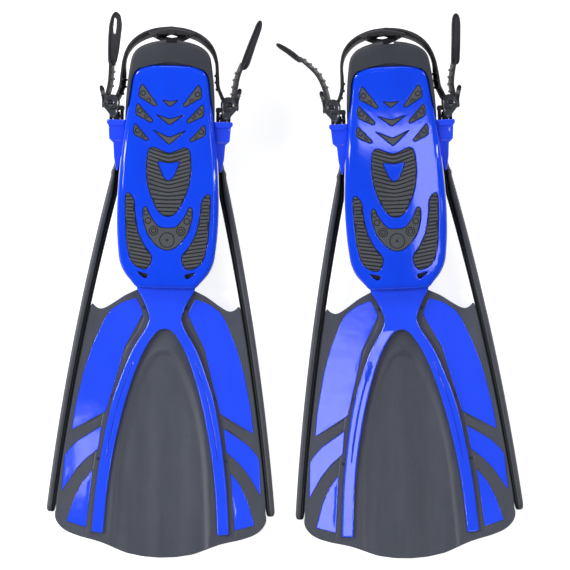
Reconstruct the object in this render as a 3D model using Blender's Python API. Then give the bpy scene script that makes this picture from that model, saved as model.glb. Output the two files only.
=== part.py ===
"""A pair of open-heel swim fins, lying side by side on the floor with their soles up.

Each fin is drawn in its own plan frame, in millimetres: x across the fin, y from the blade's
tip towards the heel, z up from the floor. The sole slopes up towards the heel, so the fin rests
on the instep of its foot pocket and on the ends of its two side rails.
"""
import math

import bmesh
import bpy

MM = 0.001

# Placing of the two fins
LEFT_FIN = (-131.1, -286.2)   # its blade tip; the origin is under the middle of the pair
LEFT_TURN = -1.4              # degrees about Z
RIGHT_FIN = (134.0, -286.9)
RIGHT_TURN = 2.65

# Heights along one fin
TOE_Y = 283.0
TOE_SOLE_Z = 49.0
HEEL_Y = 540.5
HEEL_SOLE_Z = 124.0
BLADE_TIP_Z = 2.8
BLADE_SLOPE = 0.06
BLADE_BEND = 0.00012
BLADE_HALF_THICKNESS = 1.5

GAP = 0.3                 # between neighbouring pieces

# Sole shell: a plate with a skirt
SHELL_PLATE = 3.5
SHELL_SKIRT = 14.0
SHELL_WALL = 3.0
SHELL_ROUND = 6.0
RIB_HEIGHT_ROOT = 7.0
RIB_HEIGHT_TIP = 2.6

# Foot pocket
TREAD_BASE = 1.6
TREAD_INSET = 6.0
TREAD_PROUD = 0.9
SOLE_THICKNESS = 12.0
POCKET_WALL = 7.5
INSTEP_WALL = 4.5
INSTEP_EDGE_Y = 446.0
INSTEP_FLAT = -3.0        # the arch would reach this low, and the floor cuts it flat
INSTEP_LINE = [           # its lowest line, as (y, z)
    (283, 19), (289, 12), (299, 8), (322, 4.5), (350, 1.5), (392, INSTEP_FLAT), (560, INSTEP_FLAT),
]

# Side rails
RAIL_TIP_Y = 46.0
RAIL_ROOT_Y = 426.0
RAIL_FLAT_Y = 60.0

# Strap, buckles and their axes
SWIVEL_Y = 463.0
STRAP_Z = 76.0            # height of the swivel axis and of the strap's middle
STRAP_HALF_WIDTH = 12.0
STRAP_HALF = 1.2          # half of the strap's thickness
TOOTH_HEIGHT = 1.3
TOOTH_PITCH = 7.4
ROLLER_X = 62.5
ROLLER_Y = 476.8
ROLLER_RADIUS = 2.6
PIN_RADIUS = 1.2
SWIVEL_RADIUS = 1.8
KNUCKLE_RADIUS = 4.6
LEVER_X = 69.4
LEVER_Y = 474.0
PLATE_INNER = 12.6        # from the strap's middle to a buckle plate
PLATE_OUTER = 15.4

# Half-widths (y, half) of the shell, from the toe to the heel edge
SHELL_HALF = [
    (283, 30.8), (289, 35.6), (299, 44), (310, 49), (322, 51), (343, 52.8), (371, 53.3), (401, 51.8),
    (431, 49.4), (452, 46.8), (471, 44.6), (490, 41.7), (501, 40.6), (509, 38), (513.5, 33), (517, 20),
]
# Half-widths of the foot pocket, which stands out beside the heel end of the shell
POCKET_HALF = [
    (285.4, 32.6), (289, 35.6), (299, 44), (310, 49), (322, 51), (343, 52.8), (371, 53.3), (401, 51.8),
    (431, 49.4), (452, 47.2), (475, 46.6), (490, 45.8), (505, 44.4), (517, 42.6), (527, 40), (534, 33),
    (538.5, 21), (540.5, 8),
]

# Half outline of the neck and ribs: out along the rib's outer edge, back along its inner edge
RIB_OUTER = [
    (30.4, 285), (29.6, 281), (23.5, 270.6), (19.6, 262), (16.6, 252.7), (18.4, 245), (23, 236),
    (34.2, 217), (45.8, 187), (53.2, 164), (59.3, 136), (64.6, 103), (68.6, 71), (72, 26),
]
RIB_INNER = [
    (60.3, 25), (57.4, 67), (53.4, 100), (47.6, 132), (40.2, 164), (31.2, 194), (22, 217),
    (12.6, 233), (6, 239.5), (0, 241),
]

BLADE_TIP_EDGE = [
    (110.2, 48), (111.4, 44.6), (111, 39), (108, 33.5), (103, 28.4), (96, 24.4), (84, 20.4), (72, 17.6),
    (63, 15.2), (52.5, 11.2), (44, 7.6), (35, 4.2), (17.5, 1), (0, 0),
]
BLADE_ROOT_EDGE = [
    (77, 267.2), (74, 262.9), (69, 260.3), (64, 261.4), (57, 265.6), (43, 275.4), (28.6, 282.3), (28, 285),
]
SCOOP_EDGE = [(0, 218), (11.5, 214), (25, 188), (34.7, 160), (41, 132), (46.2, 95), (49.4, 48), (51, 14)]

PANELS = {
    "root": [
        (31, 272.6), (26.6, 264), (23.8, 256.4), (29.5, 245), (42, 221), (51, 186), (60.2, 153),
        (95.4, 132.6), (92, 158), (83.3, 198), (74.5, 225), (63.5, 250), (57, 259.5), (45.5, 267.6),
    ],
    "mid": [
        (64.3, 137), (67.4, 113), (80.5, 102), (91, 90), (104.5, 68), (102.2, 105), (98.5, 111), (89, 121),
    ],
    "tip": [(72.8, 90.5), (78.4, 30.5), (98.6, 36.5), (90.6, 62), (82.3, 78.5)],
}

# Tread windows in the shell, each as its own outline; side ones are given for the +x side
ROW_PADS = [
    [(29.5, 498), (32.6, 492), (33.4, 483.5), (15.4, 472.8), (12.6, 475)],
    [(34, 477.5), (36.2, 472), (35.4, 464), (19.2, 456), (16.8, 458.4)],
    [(36.2, 456.3), (38.2, 450), (37.4, 443.7), (23.2, 436.8), (20.7, 438.8)],
]
CHEVRONS = [
    [(-9.4, 480.9), (0, 479.4), (9.4, 480.9), (0, 472.8)],
    [(-15.6, 465.7), (0, 461), (15.6, 465.7), (0, 453.8)],
    [(-18.4, 449.8), (0, 441.8), (18.4, 449.8), (0, 433.2)],
]
CENTRE_PAD_HALF = [
    (0, 424.6), (8, 428), (17, 432), (21.6, 429.5), (23.3, 420), (23.9, 406), (22.4, 393), (18.6, 380),
    (12, 366), (6, 359.6), (0, 358),
]
ISLAND_HALF = [(0, 414.4), (11.6, 416.6), (9.5, 410), (5.6, 401), (2.6, 397.2), (0, 396.4)]
SIDE_PAD = [
    (44, 384), (38.4, 381.5), (34.8, 375), (33.8, 360), (30.4, 342), (23.6, 328), (15, 317.4), (16, 308.5),
    (21.4, 301.8), (32, 305), (39, 313), (43, 332), (44.6, 357), (45.2, 375),
]
TOE_PAD_HALF = [
    (0, 347), (7.5, 347), (12, 350.8), (18, 359.5), (22.4, 370), (26.4, 367.5), (25.9, 355), (21.8, 341),
    (14, 330), (7, 324.4), (0, 322.6),
]
DRAIN = [(31.5, 301), (26, 299.6), (19.6, 298.6), (18.8, 295.6), (22, 292.8), (27.4, 296.4)]
BRIDGE_HALF_WIDTH = 3.0   # of the strip under the centre pad that carries the blue island
BRIDGE_DEPTH = 1.7

# The strap's heel bend, from its left run to the middle
HEEL_BEND = [
    (-53.4, 486), (-50.8, 495), (-50, 508), (-49.2, 521), (-46.2, 533), (-40, 542.4), (-30, 549.6),
    (-16, 554.4), (0, 556.2),
]
HEEL_PAD = [
    (-25, 551.3), (-14, 554.4), (0, 556.4), (14, 554.4), (25, 551.3), (24, 544.6), (15, 543.2), (8, 542),
    (0, 541.5), (-8, 542), (-15, 543.2), (-24, 544.6),
]
HEEL_SLOT = [(-6.4, 547.4), (0, 549.6), (6.4, 547.4), (0, 546.2)]

# Tails of the two straps: route from the roller, and the outline of the finger loop at its end
TAILS = {
    ("left", -1): {
        "route": [(-65.9, 484), (-63.5, 495), (-62.5, 508), (-62.6, 522)],
        "loop": [
            (-63.8, 515), (-66, 527), (-66.7, 542), (-66, 557), (-63.8, 567), (-59.3, 572.4), (-54.6, 567),
            (-52.2, 556), (-53, 543), (-55, 529), (-57.3, 517.6), (-60.4, 515),
        ],
        "slot": [(-60.4, 543), (-60.6, 555), (-58.6, 565), (-56.8, 563), (-57.2, 554), (-58, 543)],
    },
    ("left", 1): {
        "route": [(66.4, 484), (67.6, 495), (71, 508), (75.6, 521)],
        "loop": [
            (72, 512.5), (76.2, 528), (81.6, 546), (87, 560), (92.4, 566.2), (96.2, 563.6), (95.4, 556),
            (90.6, 540), (85, 524.5), (81.4, 517.5), (77, 513),
        ],
    },
    ("right", -1): {
        "route": [(-65.6, 484), (-68.2, 496), (-74.6, 508.5), (-84, 519.5), (-95, 529)],
        "loop": [
            (-90, 527.5), (-98, 535.6), (-106, 541.5), (-113, 545.6), (-117, 546), (-118, 542), (-113, 537.5),
            (-106, 532), (-98, 526.4), (-92, 524),
        ],
    },
    ("right", 1): {
        "route": [(65.8, 484), (64, 495), (65, 508), (67.4, 522)],
        "loop": [
            (64, 515.5), (65.6, 530), (66.4, 548), (67.6, 562), (71.4, 569.8), (75, 563), (75.4, 548),
            (73.8, 533), (71.8, 519), (68.6, 515),
        ],
    },
}


def clear_scene():
    for item in list(bpy.data.objects):
        bpy.data.objects.remove(item, do_unlink=True)


def make_material(name, colour, roughness, metallic=0.0):
    material = bpy.data.materials.new(name)
    material.use_nodes = True
    shader = material.node_tree.nodes["Principled BSDF"]
    shader.inputs["Base Color"].default_value = (*colour, 1.0)
    shader.inputs["Roughness"].default_value = roughness
    shader.inputs["Metallic"].default_value = metallic
    material.diffuse_color = (*colour, 1.0)
    return material


# Plan geometry

def smooth(points, steps):
    """An open Catmull-Rom curve through the given points, with steps pieces between two of them."""
    ends = [points[0], *points, points[-1]]
    curve = []
    for p0, p1, p2, p3 in zip(ends, ends[1:], ends[2:], ends[3:]):
        for step in range(steps):
            t = step / steps
            curve.append(tuple(
                0.5 * (2 * b + (c - a) * t + (2 * a - 5 * b + 4 * c - d) * t * t
                       + (3 * b - a - 3 * c + d) * t ** 3)
                for a, b, c, d in zip(p0, p1, p2, p3)
            ))
    return curve + [tuple(points[-1])]


def mirrored(points):
    """The same outline on the other side of the fin."""
    return [(-x, y) for x, y in reversed(points)]


def both_sides(half):
    """A whole outline from a half one that runs from the middle line back to the middle line."""
    return half + [(-x, y) for x, y in reversed(half) if x > 0.01]


def outline_from_widths(widths):
    """A whole outline, symmetric about the middle line, from (y, half-width) pairs."""
    right = [(half, y) for y, half in widths]
    return right + [(-x, y) for x, y in reversed(right)]


def area(outline):
    following = outline[1:] + outline[:1]
    return 0.5 * sum(x0 * y1 - x1 * y0 for (x0, y0), (x1, y1) in zip(outline, following))


def offset(outline, distance):
    """The outline moved outward by distance, or inward when distance is negative."""
    sign = 1.0 if area(outline) > 0 else -1.0
    moved = []
    count = len(outline)
    for i, (x, y) in enumerate(outline):
        xa, ya = outline[i - 1]
        xb, yb = outline[(i + 1) % count]
        before = math.hypot(x - xa, y - ya)
        after = math.hypot(xb - x, yb - y)
        nx = (y - ya) / before + (yb - y) / after
        ny = -(x - xa) / before - (xb - x) / after
        scale = sign * distance * 2.0 / max(nx * nx + ny * ny, 0.8)
        moved.append((x + nx * scale, y + ny * scale))
    return moved


def circle(x, y, radius, count):
    angles = [2 * math.pi * i / count for i in range(count)]
    return [(x + radius * math.cos(a), y + radius * math.sin(a)) for a in angles]


def arc(x, y, radius, start, end, count):
    """Points on an arc; start and end are in degrees."""
    turns = [math.radians(start + (end - start) * i / (count - 1)) for i in range(count)]
    return [(x + radius * math.cos(a), y + radius * math.sin(a)) for a in turns]


def between(pairs, y):
    """Value at y on the line through (y, value) pairs."""
    for (y0, v0), (y1, v1) in zip(pairs, pairs[1:]):
        if y <= y1:
            return v0 + (v1 - v0) * (y - y0) / (y1 - y0)
    return pairs[-1][1]


# Heights

def sole_z(y):
    return TOE_SOLE_Z + (HEEL_SOLE_Z - TOE_SOLE_Z) * (y - TOE_Y) / (HEEL_Y - TOE_Y)


def blade_z(y):
    return BLADE_TIP_Z + BLADE_SLOPE * y + BLADE_BEND * y * y


def rail_x(y):
    """Middle of a side rail, a slightly bowed line."""
    return 120.2 - 0.0868 * y - 0.000192 * y * y


def rail_half(y):
    return 4.5 + 1.5 * y / RAIL_ROOT_Y


# Solids

def add_object(name, bm, material, parent, origin=(0.0, 0.0, 0.0)):
    """An object from a mesh drawn in the fin's frame, with its own origin at the given point."""
    bmesh.ops.recalc_face_normals(bm, faces=bm.faces)
    bmesh.ops.triangulate(bm, faces=bm.faces)
    mesh = bpy.data.meshes.new(name)
    for vert in bm.verts:
        vert.co = [(value - start) * MM for value, start in zip(vert.co, origin)]
    bm.to_mesh(mesh)
    bm.free()
    mesh.materials.append(material)
    item = bpy.data.objects.new(name, mesh)
    item.location = [value * MM for value in origin]
    item.parent = parent
    bpy.context.scene.collection.objects.link(item)
    return item


def loft(bm, rings):
    """Skin closed rings of equal length and cap both ends."""
    loops = [[bm.verts.new(point) for point in ring] for ring in rings]
    for low, high in zip(loops, loops[1:]):
        for i in range(len(low)):
            j = (i + 1) % len(low)
            bm.faces.new((low[i], low[j], high[j], high[i]))
    bm.faces.new(loops[0])
    bm.faces.new(loops[-1])


def at_height(outline, height):
    """Lift a plan outline to a height, which is a number or a function of y."""
    if callable(height):
        return [(x, y, height(y)) for x, y in outline]
    return [(x, y, height) for x, y in outline]


def prism(bm, outline, bottom, top):
    loft(bm, [at_height(outline, bottom), at_height(outline, top)])


def slab(bm, outline, bottom, top, cuts):
    """A plate over an outline, sliced across at each y in cuts so that it can bend along y."""
    bm.faces.new([bm.verts.new((x, y, 0.0)) for x, y in outline])
    for y in cuts:
        parts = bm.verts[:] + bm.edges[:] + bm.faces[:]
        bmesh.ops.bisect_plane(bm, geom=parts, plane_co=(0, y, 0), plane_no=(0, 1, 0))
    rim = [edge for edge in bm.edges if edge.is_boundary]
    faces = bm.faces[:]
    upper = {vert: bm.verts.new(vert.co) for vert in bm.verts[:]}
    for face in faces:
        bm.faces.new([upper[vert] for vert in face.verts])
    for edge in rim:
        a, b = edge.verts
        bm.faces.new((a, b, upper[b], upper[a]))
    for low, high in upper.items():
        high.co.z = top(high.co.y)
        low.co.z = bottom(low.co.y)


def side_prism(bm, profile, x0, x1):
    """A (y, z) profile extruded across the fin."""
    loft(bm, [[(x0, y, z) for y, z in profile], [(x1, y, z) for y, z in profile]])


def post(bm, x, y, radius, z0, z1, count=10):
    """A round post along Z."""
    prism(bm, circle(x, y, radius, count), z0, z1)


def barrel(bm, y, z, radius, x0, x1, count=12):
    """A round bar along X."""
    side_prism(bm, circle(y, z, radius, count), x0, x1)


def combine(target, draw, operation, parent):
    """Cut or add a helper shape by a Boolean; draw fills the helper's mesh."""
    bm = bmesh.new()
    draw(bm)
    helper = add_object(target.name + "_helper", bm, target.data.materials[0], parent)
    helper.hide_render = True
    helper.display_type = "WIRE"
    modifier = target.modifiers.new(operation.lower(), "BOOLEAN")
    modifier.operation = operation
    modifier.solver = "EXACT"
    modifier.object = helper


def merge_flat_faces(target):
    """Join the coplanar triangles that a Boolean leaves behind."""
    modifier = target.modifiers.new("merge_flat_faces", "DECIMATE")
    modifier.decimate_type = "DISSOLVE"
    modifier.angle_limit = math.radians(0.2)


def subtract(target, draw, parent):
    combine(target, draw, "DIFFERENCE", parent)


def unite(target, draw, parent):
    combine(target, draw, "UNION", parent)


# Sole side of the fin

def shell_outline():
    return outline_from_widths(SHELL_HALF)


def tray(bm, grow, plate, skirt, top):
    """The shell's plate and skirt; grow makes the slightly larger shape that the pocket is cut by."""
    outline = shell_outline()
    inner = offset(outline, -SHELL_WALL - grow)
    outer = offset(outline, grow)

    def below(depth):
        return lambda y: sole_z(y) - depth

    rings = [at_height(inner, below(plate)), at_height(inner, below(skirt)), at_height(outer, below(skirt))]
    if top > 0:
        bed = offset(outline, -TREAD_INSET)
        bed_rings = [at_height(bed, below(plate + TREAD_BASE + GAP)), at_height(bed, below(plate))]
        rings = bed_rings + rings + [at_height(outer, below(-top))]
    else:
        for angle in (0, 30, 60, 90):
            turn = math.radians(angle)
            step = SHELL_ROUND * (1 - math.cos(turn))
            drop = SHELL_ROUND * (1 - math.sin(turn))
            rings.append(at_height(offset(outline, -step), below(drop)))
    loft(bm, rings)


def tread_outlines():
    """Every tread window except the centre pad's island."""
    outlines = [both_sides(CENTRE_PAD_HALF), both_sides(TOE_PAD_HALF), *CHEVRONS]
    for pad in [*ROW_PADS, SIDE_PAD]:
        outlines += [pad, mirrored(pad)]
    return outlines


def bridge_outline(grow):
    half = BRIDGE_HALF_WIDTH + grow
    return [(-half, 350), (half, 350), (half, 400), (-half, 400)]


def build_shell(fin, parent, materials):
    bm = bmesh.new()
    tray(bm, 0.0, SHELL_PLATE, SHELL_SKIRT, 0.0)
    shell = add_object(fin + "_sole_shell", bm, materials["shell"], parent)

    def wishbone(bm):
        half = RIB_OUTER + RIB_INNER
        cuts = range(50, 285, 45)
        slab(bm, both_sides(half), rib_bottom, rib_top, cuts)

    def windows(bm):
        for outline in tread_outlines():
            prism(bm, outline, lambda y: sole_z(y) - 9, lambda y: sole_z(y) + 9)
        for outline in (DRAIN, mirrored(DRAIN)):
            prism(bm, outline, lambda y: sole_z(y) - 9, lambda y: sole_z(y) + 9)

    def island(bm):
        prism(bm, both_sides(ISLAND_HALF), lambda y: sole_z(y) - SHELL_PLATE + 0.6, lambda y: sole_z(y) - 0.1)

    def bridge(bm):
        prism(bm, bridge_outline(0.0), lambda y: sole_z(y) - SHELL_PLATE + 0.2,
              lambda y: sole_z(y) - SHELL_PLATE + BRIDGE_DEPTH)

    unite(shell, wishbone, parent)
    subtract(shell, windows, parent)
    unite(shell, bridge, parent)
    unite(shell, island, parent)
    merge_flat_faces(shell)


def rib_bottom(y):
    return blade_z(y) + BLADE_HALF_THICKNESS + GAP


def rib_top(y):
    return rib_bottom(y) + RIB_HEIGHT_TIP + (RIB_HEIGHT_ROOT - RIB_HEIGHT_TIP) * y / TOE_Y


def build_tread(fin, parent, materials):
    base_top = SHELL_PLATE + GAP

    def below_base(y):
        return sole_z(y) - base_top - TREAD_BASE

    bm = bmesh.new()
    prism(bm, offset(shell_outline(), -TREAD_INSET - GAP), below_base, lambda y: sole_z(y) - base_top)
    tread = add_object(fin + "_sole_tread", bm, materials["tread"], parent)

    def pads(bm):
        for outline in tread_outlines():
            prism(bm, offset(outline, -GAP), lambda y: below_base(y) + 0.5, lambda y: sole_z(y) + TREAD_PROUD)

    def hollow(bm):
        prism(bm, offset(both_sides(ISLAND_HALF), GAP), lambda y: sole_z(y) - base_top - 0.1,
              lambda y: sole_z(y) + 9)

    def groove(bm):
        prism(bm, bridge_outline(GAP), lambda y: sole_z(y) - base_top - 0.2,
              lambda y: sole_z(y) - SHELL_PLATE + BRIDGE_DEPTH + GAP)

    def drains(bm):
        for outline in (DRAIN, mirrored(DRAIN)):
            prism(bm, outline, lambda y: sole_z(y) - 12, lambda y: sole_z(y) + 9)

    unite(tread, pads, parent)
    subtract(tread, hollow, parent)
    subtract(tread, groove, parent)
    subtract(tread, drains, parent)
    merge_flat_faces(tread)


# Foot pocket

def instep_z(y):
    """Lowest line of the pocket's instep side."""
    return between(INSTEP_LINE, y)


def pocket_ring(y, half, top, bottom, floor):
    """Section across the pocket: straight sides, and an arched instep that is flat at the floor."""
    waist = bottom + 0.5 * (top - bottom)
    ring = [(half * x, top) for x in (-1.0, 1.0)]
    for step in range(6):
        angle = math.radians(90 * step / 5)
        reach = math.cos(angle) ** 0.8
        depth = math.sin(angle) ** 0.8
        ring.append((half * reach, waist - (waist - bottom) * depth))
    left = [(-x, z) for x, z in reversed(ring[2:-1])]
    return [(x, y, max(z, floor)) for x, z in ring + left]


def build_pocket(fin, parent, materials):
    bm = bmesh.new()
    rings = [pocket_ring(y, half, sole_z(y), instep_z(y), 0.0) for y, half in POCKET_HALF]
    loft(bm, rings)
    pocket = add_object(fin + "_foot_pocket", bm, materials["pocket"], parent)

    def cavity(bm):
        middle = [(y, half - POCKET_WALL) for y, half in POCKET_HALF if 320 < y < 510]
        stations = [(300, 30), (310, 38), *middle, (530, 35), (560, 35)]
        loft(bm, [
            pocket_ring(y, half, sole_z(y) - SOLE_THICKNESS, instep_z(y) + INSTEP_WALL + 2.5, -50)
            for y, half in stations
        ])

    def opening(bm):
        profile = [
            (INSTEP_EDGE_Y, -10), (INSTEP_EDGE_Y + 2, 8), (INSTEP_EDGE_Y + 10, 38), (INSTEP_EDGE_Y + 26, 66),
            (INSTEP_EDGE_Y + 50, 88), (INSTEP_EDGE_Y + 76, 103), (HEEL_Y + 4, 111), (HEEL_Y + 4, -10),
        ]
        side_prism(bm, profile, -70, 70)

    def recess(bm):
        tray(bm, GAP, SHELL_PLATE + GAP, SHELL_SKIRT + GAP, 20)

    def drains(bm):
        for outline in (DRAIN, mirrored(DRAIN)):
            prism(bm, offset(outline, -1.0), lambda y: sole_z(y) - 30, lambda y: sole_z(y) + 9)

    subtract(pocket, drains, parent)
    subtract(pocket, cavity, parent)
    subtract(pocket, opening, parent)
    subtract(pocket, recess, parent)
    merge_flat_faces(pocket)


# Blade

def blade_outline():
    """Blade between the two rails, round its tip and its root."""
    edge = [(rail_x(y) - rail_half(y) - GAP, y) for y in (60, 110, 160, 210, 260)]
    right = BLADE_TIP_EDGE[::-1] + edge + BLADE_ROOT_EDGE
    return right + [(-x, y) for x, y in reversed(right) if x > 0.01]


def build_blade(fin, parent, materials, outer_side):
    bm = bmesh.new()
    cuts = range(50, 280, 45)
    slab(bm, blade_outline(), lambda y: blade_z(y) - BLADE_HALF_THICKNESS,
         lambda y: blade_z(y) + BLADE_HALF_THICKNESS, cuts)
    blade = add_object(fin + "_blade", bm, materials["blade"], parent)

    def holes(bm):
        for outline in PANELS.values():
            for side in (outline, mirrored(outline)):
                prism(bm, side, -20, 60)

    def scoop(bm):
        half = SCOOP_EDGE[:-1] + [(50.5, -6), (0, -6)]
        slab(bm, both_sides(half), lambda y: blade_z(max(y, 0)) + 0.3, lambda y: blade_z(max(y, 0)) + 9, cuts)

    subtract(blade, holes, parent)
    subtract(blade, scoop, parent)
    merge_flat_faces(blade)
    for name, outline in PANELS.items():
        for place, side in (("outer", outer_side), ("inner", -outer_side)):
            panel = outline if side > 0 else mirrored(outline)
            bm = bmesh.new()
            slab(bm, offset(panel, -GAP), lambda y: blade_z(y) - BLADE_HALF_THICKNESS,
                 lambda y: blade_z(y) + BLADE_HALF_THICKNESS + 0.6, cuts)
            add_object(f"{fin}_blade_panel_{place}_{name}", bm, materials["panel"], parent)


def build_rail(fin, place, side, parent, materials):
    """A bar that grows from the blade's tip to the foot pocket, which cuts its inner face to a wedge."""
    stations = [RAIL_TIP_Y, 50, RAIL_FLAT_Y, 110, 160, 210, 260, 300, 340, 370, 385, 400, 413, RAIL_ROOT_Y]
    rings = []
    for y in stations:
        half = rail_half(y)
        middle = rail_x(y)
        outer = middle + half
        inner = max(middle - half, between(POCKET_HALF, y) + 0.6)
        if y > 385:
            outer = max(outer, inner + 3.5)
        rise = blade_z(y) - 0.6
        top = rise + 4.8 + 3.2 * y / RAIL_ROOT_Y
        low = max(rise - 5.2 - 3 * y / RAIL_ROOT_Y, 0.0)
        low = 0.0 if y <= RAIL_FLAT_Y else low
        if y == RAIL_TIP_Y:
            outer -= 2
            inner += 2
            top -= 2
        bevel = 0.22 * (outer - inner)
        ring = [
            (inner, low + bevel), (inner + bevel, low), (outer - bevel, low), (outer, low + bevel),
            (outer, top - bevel), (outer - bevel, top), (inner + bevel, top), (inner, top - bevel),
        ]
        rings.append([(side * x, y, z) for x, z in ring])
    bm = bmesh.new()
    loft(bm, rings)
    add_object(f"{fin}_side_rail_{place}", bm, materials["rail"], parent)


# Strap hardware

def knuckle(reach_y):
    """Side profile of an eye round the swivel axis, with a root that runs to reach_y."""
    if reach_y < SWIVEL_Y:
        turn = arc(SWIVEL_Y, STRAP_Z, KNUCKLE_RADIUS, -90, 90, 7)
    else:
        turn = arc(SWIVEL_Y, STRAP_Z, KNUCKLE_RADIUS, 90, 270, 7)
    root = [(reach_y, turn[-1][1]), (reach_y, turn[0][1])]
    return turn + root


def build_lug(fin, place, side, parent, materials):
    outline = [
        (47.9, 457), (65, 457), (65.6, 454), (63, 452.6), (62.2, 441), (60, 438.4), (57.8, 437.4),
        (57.2, 420), (54.9, 407), (53.4, 405.5), (52.6, 412), (51.6, 420), (50.2, 431),
    ]
    bm = bmesh.new()
    prism(bm, [(side * x, y) for x, y in outline], lambda y: sole_z(y) - 29, lambda y: sole_z(y) - 7)
    lug = add_object(f"{fin}_strap_lug_{place}", bm, materials["lug"], parent)

    def tongue(bm):
        side_prism(bm, knuckle(454), side * 52.4, side * 59.6)

    def bore(bm):
        barrel(bm, SWIVEL_Y, STRAP_Z, SWIVEL_RADIUS + GAP, side * 45, side * 70)

    unite(lug, tongue, parent)
    subtract(lug, bore, parent)
    merge_flat_faces(lug)
    bm = bmesh.new()
    barrel(bm, SWIVEL_Y, STRAP_Z, SWIVEL_RADIUS, side * 48.4, side * 63.6)
    add_object(f"{fin}_swivel_pin_{place}", bm, materials["pin"], parent,
               origin=(side * 56, SWIVEL_Y, STRAP_Z))


def buckle_plate_outline(side):
    """Teardrop plate, with a small ear that holds the lever pin."""
    head = arc(61.2, 477.4, 7.2, 190, 0, 8)
    ear = arc(LEVER_X - 0.4, LEVER_Y, 2.6, 20, -80, 3)
    tail = [(63.6, 465.6), (60.6, 460.8), (56.6, 461.4), (55, 466)]
    return [(side * x, y) for x, y in head + ear + tail]


def build_buckle(fin, place, side, parent, materials, swivel):
    def lift(z):
        return STRAP_Z + z

    bm = bmesh.new()
    outline = [(48.4, 469), (63.6, 469), (63.6, 471.2), (48.4, 471.2)]
    prism(bm, [(side * x, y) for x, y in outline], lift(-PLATE_OUTER), lift(PLATE_OUTER))
    buckle = add_object(f"{fin}_buckle_{place}", bm, materials["buckle"], parent, origin=swivel)

    def plates(bm):
        for z0, z1 in ((-PLATE_OUTER, -PLATE_INNER), (PLATE_INNER, PLATE_OUTER)):
            prism(bm, buckle_plate_outline(side), lift(z0), lift(z1))

    def cheeks(bm):
        for x0, x1 in ((48.4, 52.1), (59.9, 63.6)):
            side_prism(bm, knuckle(470), side * x0, side * x1)

    def holes(bm):
        barrel(bm, SWIVEL_Y, STRAP_Z, SWIVEL_RADIUS + GAP, side * 45, side * 70)
        post(bm, side * ROLLER_X, ROLLER_Y, PIN_RADIUS + GAP, lift(-20), lift(20))
        post(bm, side * LEVER_X, LEVER_Y, PIN_RADIUS + GAP - 0.2, lift(-20), lift(20))

    unite(buckle, plates, parent)
    unite(buckle, cheeks, parent)
    subtract(buckle, holes, parent)
    merge_flat_faces(buckle)
    build_roller(fin, place, side, parent, materials)
    build_lever(fin, place, side, parent, materials)


def build_roller(fin, place, side, parent, materials):
    centre = (side * ROLLER_X, ROLLER_Y, STRAP_Z)
    bm = bmesh.new()
    half = PLATE_INNER - GAP
    post(bm, centre[0], centre[1], ROLLER_RADIUS, STRAP_Z - half, STRAP_Z + half, 16)
    roller = add_object(f"{fin}_roller_{place}", bm, materials["pin"], parent, origin=centre)

    def bore(bm):
        post(bm, centre[0], centre[1], PIN_RADIUS + GAP, STRAP_Z - 20, STRAP_Z + 20)

    subtract(roller, bore, parent)
    merge_flat_faces(roller)
    bm = bmesh.new()
    post(bm, centre[0], centre[1], PIN_RADIUS, STRAP_Z - PLATE_OUTER - 0.5, STRAP_Z + PLATE_OUTER + 0.5)
    add_object(f"{fin}_roller_pin_{place}", bm, materials["pin"], parent, origin=centre)


def build_lever(fin, place, side, parent, materials):
    centre = (side * LEVER_X, LEVER_Y, STRAP_Z)
    outline = [
        (69.2, 471.6), (71.2, 470.6), (72.2, 473), (71.6, 478), (72.4, 485), (74.8, 492), (74.2, 494),
        (72.6, 493.4), (70.2, 486), (69.3, 479), (68.3, 475.8), (68, 473),
    ]
    bm = bmesh.new()
    half = PLATE_INNER - GAP
    prism(bm, [(side * x, y) for x, y in outline], STRAP_Z - half, STRAP_Z + half)
    lever = add_object(f"{fin}_release_lever_{place}", bm, materials["buckle"], parent, origin=centre)

    def bore(bm):
        post(bm, centre[0], centre[1], PIN_RADIUS - 0.2 + GAP, STRAP_Z - 20, STRAP_Z + 20)

    subtract(lever, bore, parent)
    merge_flat_faces(lever)
    bm = bmesh.new()
    post(bm, centre[0], centre[1], PIN_RADIUS - 0.2, STRAP_Z - PLATE_OUTER, STRAP_Z + PLATE_OUTER)
    add_object(f"{fin}_lever_pin_{place}", bm, materials["pin"], parent, origin=centre)


# Strap

def ribbon(path, half, teeth):
    """Outline of a band along a path; teeth are (start, end, side) stretches of its length."""
    lengths = [0.0]
    for a, b in zip(path, path[1:]):
        lengths.append(lengths[-1] + math.dist(a, b))

    def at(s, side, extra):
        i = max(k for k in range(len(path) - 1) if lengths[k] <= s or k == 0)
        a, b = path[i], path[i + 1]
        t = (s - lengths[i]) / (lengths[i + 1] - lengths[i])
        before = path[max(i - 1, 0)]
        after = path[min(i + 2, len(path) - 1)]
        dx0, dy0 = b[0] - before[0], b[1] - before[1]
        dx1, dy1 = after[0] - a[0], after[1] - a[1]
        dx, dy = dx0 + (dx1 - dx0) * t, dy0 + (dy1 - dy0) * t
        size = math.hypot(dx, dy)
        reach = side * (half + extra)
        return (a[0] + (b[0] - a[0]) * t - dy / size * reach, a[1] + (b[1] - a[1]) * t + dx / size * reach)

    edges = []
    for side in (1, -1):
        stops = [(s, 0.0) for s in lengths]
        for start, end, where in teeth:
            if where != side:
                continue
            count = int((end - start) / TOOTH_PITCH)
            for k in range(count):
                s = start + k * TOOTH_PITCH
                stops = [stop for stop in stops if not s - 0.3 < stop[0] < s + 3.3]
                stops += [(s, 0.0), (s + 0.5, TOOTH_HEIGHT), (s + 2.5, TOOTH_HEIGHT), (s + 3, 0.0)]
        edges.append([at(s, side, extra) for s, extra in sorted(stops)])
    return edges[0] + edges[1][::-1], lengths[-1]


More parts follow.
